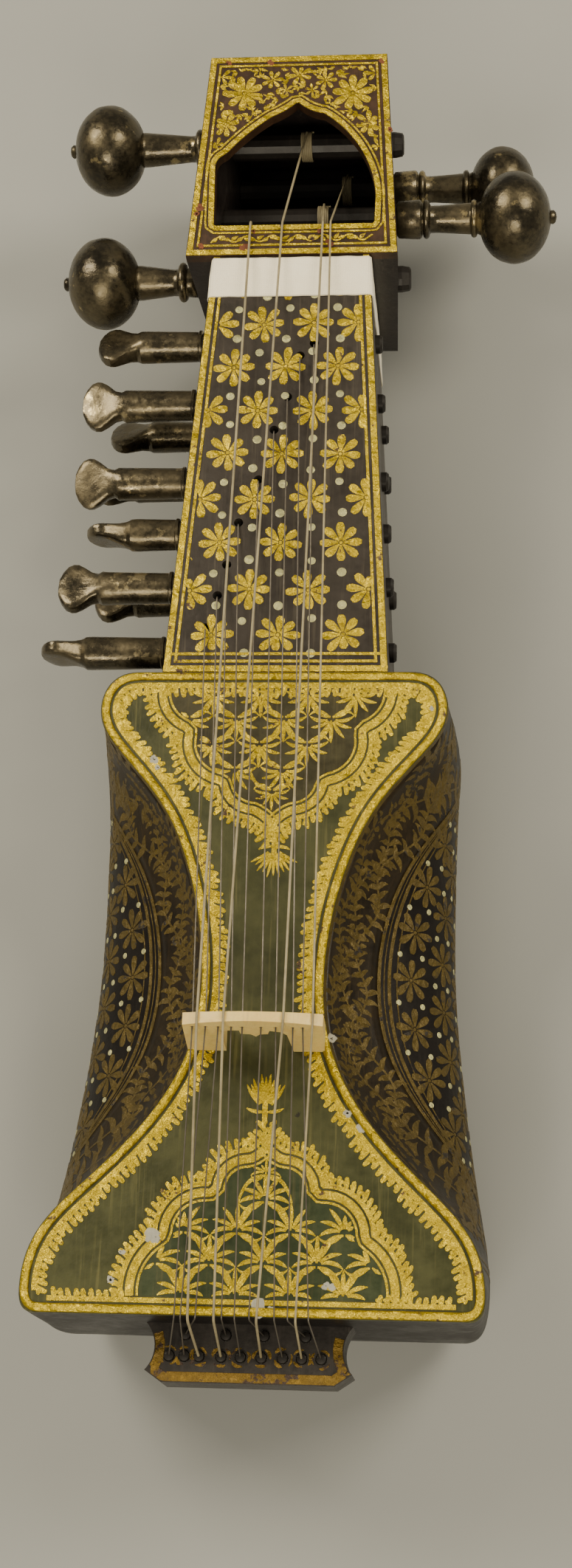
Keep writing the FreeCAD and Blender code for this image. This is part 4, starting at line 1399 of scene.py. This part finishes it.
def main_pegs():
    """Wooden shafts, turned metal sheaths with rings, and dented ball knobs."""
    for name, side in MAIN_PEGS:
        peg, knob = f"main_peg_{name}", f"main_knob_{name}"
        body = f"peg_{name}"
        place = axis_place(peg, side)
        inner_end = min(low(peg).x * side, high(peg).x * side)
        seat, tip = sorted((low(knob).x * side, high(knob).x * side))
        wall = shoulder_of(peg)
        shaft = [(inner_end, 0.01), (inner_end, 3.3), (inner_end + 0.5, 4.0),
                 (inner_end + 3.0, 4.45), (wall - 0.2, 4.45), (wall - 0.1, 0.01)]
        piece = turned(f"shaft_{name}", shaft, 12, place, PEG_WOOD, body, smooth=False)
        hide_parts(peg)
        sheath = [(wall - 0.3, 0.01), (wall - 0.3, 5.3)]
        if side > 0:
            sleeve = wall + 8.5
            sheath += [(wall + 0.6, 6.4), (sleeve - 0.7, 6.8), (sleeve, 6.2)]
            sheath += bead(sleeve + 1.6, 2.4, 5.2, 6.7)
            sheath += [(sleeve + 3.2, 4.7), (sleeve + 6.0, 4.7), (seat - 3.0, 5.4)]
            sheath += bead(seat - 1.4, 2.2, 5.4, 6.6)
        else:
            sheath += [(wall + 2.6, 5.1)] + bead(wall + 4.6, 3.0, 5.1, 6.9)
            sheath += [(wall + 6.4, 4.7), (wall + 8.0, 4.6), (seat - 1.0, 6.0)]
        sheath += [(seat + 1.6, 6.1), (seat + 1.8, 0.01)]
        piece = turned(f"sheath_{name}", sheath, 40, place, STEM, body, 0.12)
        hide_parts(peg)
        knob_mesh(name, knob, seat, tip, place)
        winding(name)


def shoulder_of(peg):
    """How far out a main peg widens from its shaft, from the metal's inner end."""
    outwards = 1 if high(peg).x > -low(peg).x else -1
    axis = (low(peg) + high(peg)) / 2
    wide = []
    for vertex in NODES[peg].data.vertices:
        point = vertex.co / MM
        reach = math.hypot(point.y - axis.y, point.z - axis.z)
        if reach > 5.0:
            wide.append(point.x * outwards)
    return min(wide)


def knob_mesh(name, node, seat, tip, place):
    """A flattened ball beaten from sheet, with a small button on its end."""
    radius = (high(node).z - low(node).z) / 2
    button = 2.0
    axial = (tip - button - seat) / 2
    middle = seat + axial
    rows = 40
    profile = []
    for i in range(rows + 1):
        angle = math.pi * i / rows
        along = middle - axial * math.cos(angle)
        reach = radius * math.sin(angle) ** 0.94
        if along > middle and reach < 2.6:
            break
        profile.append((along, max(reach, 0.01)))
    end = profile[-1][0]
    profile += [(end + 0.2, 2.3), (end + 1.0, 2.4), (tip - 0.35, 1.7), (tip, 0.01)]
    piece = turned(f"knob_{name}", profile, 72, place, BRONZE, f"peg_{name}", 0.5)
    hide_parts(node)


def tube(points, radius, sides=10):
    """A round cord along points, as vertices and faces."""
    verts = []
    normal = None
    for i, point in enumerate(points):
        ahead = (points[min(i + 1, len(points) - 1)] - points[max(i - 1, 0)]).normalized()
        if normal is None:
            normal = ahead.orthogonal().normalized()
        normal = (normal - ahead * normal.dot(ahead)).normalized()
        across = ahead.cross(normal)
        for k in range(sides):
            angle = math.tau * k / sides
            verts.append(point + (normal * math.cos(angle) + across * math.sin(angle)) * radius)
    return verts, ring_faces(len(points), sides)


def winding(name):
    """The turns of gut on a main peg, laid side by side."""
    node = f"main_winding_{name}"
    lowest, highest = low(node), high(node)
    centre = (lowest + highest) / 2
    outer = (highest.z - lowest.z) / 2
    turns = 6
    radius = (highest.x - lowest.x) / (2 * turns + 0.6)
    reach = outer - radius
    points = []
    count = turns * 28
    for i in range(count + 1):
        angle = math.tau * i / 28 + 0.6
        x = lowest.x + radius + (highest.x - lowest.x - 2 * radius) * i / count
        points.append(Vector((x, centre.y + reach * math.cos(angle), centre.z + reach * math.sin(angle))))
    verts, faces = tube(points, radius)
    piece = add_mesh(f"turns_{name}", verts, faces, GUT, body=f"peg_{name}")
    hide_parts(node)


SMALL_TURNS = (84, 8, 80, 20, -16, 28, -6, 35, 24)


def small_pegs():
    """Nine pegs: a wooden shaft, a round metal sleeve, a pinched neck and a flat paddle."""
    for number, turn in enumerate(SMALL_TURNS, 1):
        node = f"sympathetic_peg_{number}"
        middle = (low(node) + high(node)) / 2
        outer = -low(node).x
        inner = -high(node).x
        shoulder = neck_half(middle.y) + 0.9
        pinch = outer - 13.6
        spin = Matrix.Rotation(math.radians(turn), 4, "Z")
        place = axis_place(node, -1) @ spin
        place.translation = Vector((0, middle.y, middle.z))
        # (distance out, half width, half thickness, squareness)
        shaft = [(inner, 0.05, 0.05, 2.0), (inner, 2.6, 2.6, 2.0), (inner + 0.8, 3.2, 3.2, 2.0),
                 (shoulder - 0.3, 3.25, 3.25, 2.0), (shoulder - 0.2, 0.05, 0.05, 2.0)]
        head = [(shoulder - 0.4, 0.05, 0.05, 2.0), (shoulder - 0.4, 4.6, 4.6, 2.0),
                (shoulder + 2.4, 4.7, 4.7, 2.0), (shoulder + 2.6, 5.6, 5.6, 2.0),
                (shoulder + 3.4, 5.7, 5.7, 2.0), (shoulder + 3.8, 5.2, 5.2, 2.0),
                (pinch - 3.2, 5.5, 5.5, 2.1), (pinch - 1.4, 5.6, 5.4, 2.2),
                (pinch, 4.6, 4.5, 3.0), (pinch + 2.2, 5.2, 3.6, 4.0),
                (pinch + 5.0, 7.4, 2.8, 5.0), (pinch + 7.0, 8.5, 2.5, 6.0),
                (pinch + 8.6, 8.65, 2.4, 6.0), (pinch + 10.4, 7.9, 2.2, 6.0),
                (pinch + 12.0, 6.0, 1.9, 5.0), (pinch + 13.1, 3.4, 1.5, 4.0),
                (pinch + 13.6, 0.05, 0.05, 2.0)]
        parts = (("wire_peg_shaft", shaft, 14, PEG_WOOD, "peg_wood"),
                 ("wire_peg_head", head, 40, SMALL, "small_peg_metal"))
        for label, rings, sides, material, slot in parts:
            verts = [place @ p for p in ring_points(rings, sides, number)]
            faces = ring_faces(len(rings), sides)
            piece = add_mesh(f"{label}_{number}", verts, faces, material, body=f"small_peg_{number}")
            piece.data.set_sharp_from_angle(angle=math.radians(28))
            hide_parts(node)


def ring_points(rings, sides, number):
    """Points of rings between round and square, a little dented."""
    points = []
    for along, wide, thick, square in rings:
        for k in range(sides):
            angle = math.tau * k / sides
            c, s = math.cos(angle), math.sin(angle)
            reach = (abs(c) ** square + abs(s) ** square) ** (-1 / square)
            point = Vector((thick * c * reach, wide * s * reach, along))
            if wide > 4.0:
                dent = 0.3 * (0.5 + 0.5 * noise.noise(point * 0.3 + Vector((number, 0, 0))))
                point.xy *= 1.0 - dent / wide
            points.append(point)
    return points


def neck_band():
    """A strip of cotton tape wound tight round the neck, its edges turned and creased."""
    lowest, highest = low("neck_band"), high("neck_band")
    rows = 17
    around = 160
    thick = 0.55
    back, front = lowest.z + 0.8, highest.z - 0.8
    verts = []
    for lift in (thick, 0.05):
        for i in range(rows):
            y = lowest.y + 0.2 + (highest.y - lowest.y - 0.4) * i / (rows - 1)
            half = neck_half(y)
            loop = round_rectangle(half, back, front, lift, around)
            for k, (x, z) in enumerate(loop):
                fray = 0.22 * noise.noise(Vector((k * 0.35, i * 0.02, lift)))
                puff = 0.0
                if lift == thick:
                    puff = 0.16 * noise.noise(Vector((x * 0.12, y * 0.35, z * 0.12)))
                out = Vector((x, 0, z - (front + back) / 2)).normalized() * puff
                verts.append(Vector((x + out.x, y + fray, z + out.z)))
    faces = []
    under = rows * around
    for i in range(rows - 1):
        for k in range(around):
            after = (k + 1) % around
            a, b = i * around + k, i * around + after
            faces.append((a, b, b + around, a + around))
            faces.append((under + a, under + a + around, under + b + around, under + b))
    for k in range(around):
        after = (k + 1) % around
        faces.append((k, under + k, under + after, after))
        top = (rows - 1) * around
        faces.append((top + k, top + after, under + top + after, under + top + k))
    piece = add_mesh("cotton_band", verts, faces, COTTON)
    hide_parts("neck_band")


def round_rectangle(half, back, front, lift, count):
    """Points round the neck, a little proud of it, with rounded corners."""
    radius = lift + 0.5
    corners = [(half - 0.5, front - 0.5, 0), (-half + 0.5, front - 0.5, 90),
               (-half + 0.5, back + 0.5, 180), (half - 0.5, back + 0.5, 270)]
    path = []
    for x, z, start in corners:
        for step in range(7):
            angle = math.radians(start + 15 * step)
            path.append(Vector((x + radius * math.cos(angle), z + radius * math.sin(angle), 0)))
    path = resample(path + path[:1], path_length(path + path[:1]) / count)
    return [p.xy for p in path[:count]]


# ---------------------------------------------------------------- wear


def chipped_gesso():
    """Places where the paint has gone and the pale ground shows."""
    rng = random.Random(2)
    chips = Relief(flat(BELLY_TOP + 0.18), 0.12)
    spots = [(-29.5, -84.5, 2.6), (-40.8, -96.0, 1.2), (-37.8, -88.6, 1.0), (22.4, -96.4, 1.7),
             (26.8, -46.6, 1.6), (31.0, -51.0, 1.8), (-37.4, 63.6, 1.6), (-35.0, 61.2, 1.2),
             (21.2, -24.0, 1.5), (3.0, -103.4, 2.2), (6.0, -103.8, 1.4), (49.0, 81.0, 0.9)]
    for x, y, radius in spots:
        for _ in range(3):
            spot = (x + rng.uniform(-0.6, 0.6) * radius, y + rng.uniform(-0.5, 0.5) * radius)
            size = radius * rng.uniform(0.5, 0.9)
            chips.dot(level_frame(*spot, BELLY_TOP + 0.18), size, sides=13, rng=rng)
    chips.add("gesso_chips", GESSO)


# ---------------------------------------------------------------- stage


def stage():
    """Plain pale floor, soft studio light and the camera."""
    floor = bpy.data.objects.new("floor", bpy.data.meshes.new("floor"))
    half = 3.0
    corners = [(-half, -half, 0), (half, -half, 0), (half, half, 0), (-half, half, 0)]
    floor.data.from_pydata(corners, [], [(0, 1, 2, 3)])
    paper = Finish("floor_paper", Roughness=0.85)
    clouds = paper.use(MOTTLE, "Mask", Scale=3.0, Contrast=1.6)
    paper.set("Base Color", paper.graph.mix(clouds, rgb(0.31, 0.32, 0.315), rgb(0.335, 0.345, 0.34)))
    floor.data.materials.append(paper.material)
    bpy.context.scene.collection.objects.link(floor)

    def soft_light(name, place, aim, size, power, colour):
        light = bpy.data.lights.new(name, "AREA")
        light.shape = "RECTANGLE"
        light.size, light.size_y = size
        light.energy = power
        light.color = colour
        lamp = bpy.data.objects.new(name, light)
        lamp.location = place
        lamp.rotation_euler = (Vector(aim) - Vector(place)).to_track_quat("-Z", "Y").to_euler()
        bpy.context.scene.collection.objects.link(lamp)

    middle = (0, 0.09, 0.05)
    warm = (1.0, 0.89, 0.68)
    soft_light("head_left", (-0.85, 0.6, 1.05), middle, (0.5, 0.7), 16.0, warm)
    soft_light("head_right", (0.9, 0.5, 1.05), middle, (0.5, 0.7), 14.0, warm)
    soft_light("foot", (0.0, -1.05, 1.1), middle, (0.9, 0.5), 15.0, warm)
    world = bpy.data.worlds.new("studio")
    world.use_nodes = True
    background = world.node_tree.nodes["Background"]
    background.inputs["Color"].default_value = rgb(0.86, 0.79, 0.64)
    background.inputs["Strength"].default_value = 0.34
    bpy.context.scene.world = world

    camera_data = bpy.data.cameras.new("camera")
    camera_data.sensor_width = 36.0
    camera_data.lens = 56.0
    camera = bpy.data.objects.new("camera", camera_data)
    tilt = Matrix.Rotation(math.radians(19.68), 4, "X")
    swing = Matrix.Rotation(math.radians(5.5), 4, "Y")
    roll = Matrix.Rotation(math.radians(0.19), 4, "Z")
    spot = Matrix.Translation(Vector((76.8, -195.8, 791.5)) * MM)
    camera.matrix_world = spot @ tilt @ swing @ roll
    bpy.context.scene.collection.objects.link(camera)
    bpy.context.scene.camera = camera


paint_cad()
belly_border()
belly_medallions()
neck_ornament()
pegbox_ornament()
flank_ornament()
tail_ornament()
main_pegs()
small_pegs()
neck_band()
chipped_gesso()
stage()
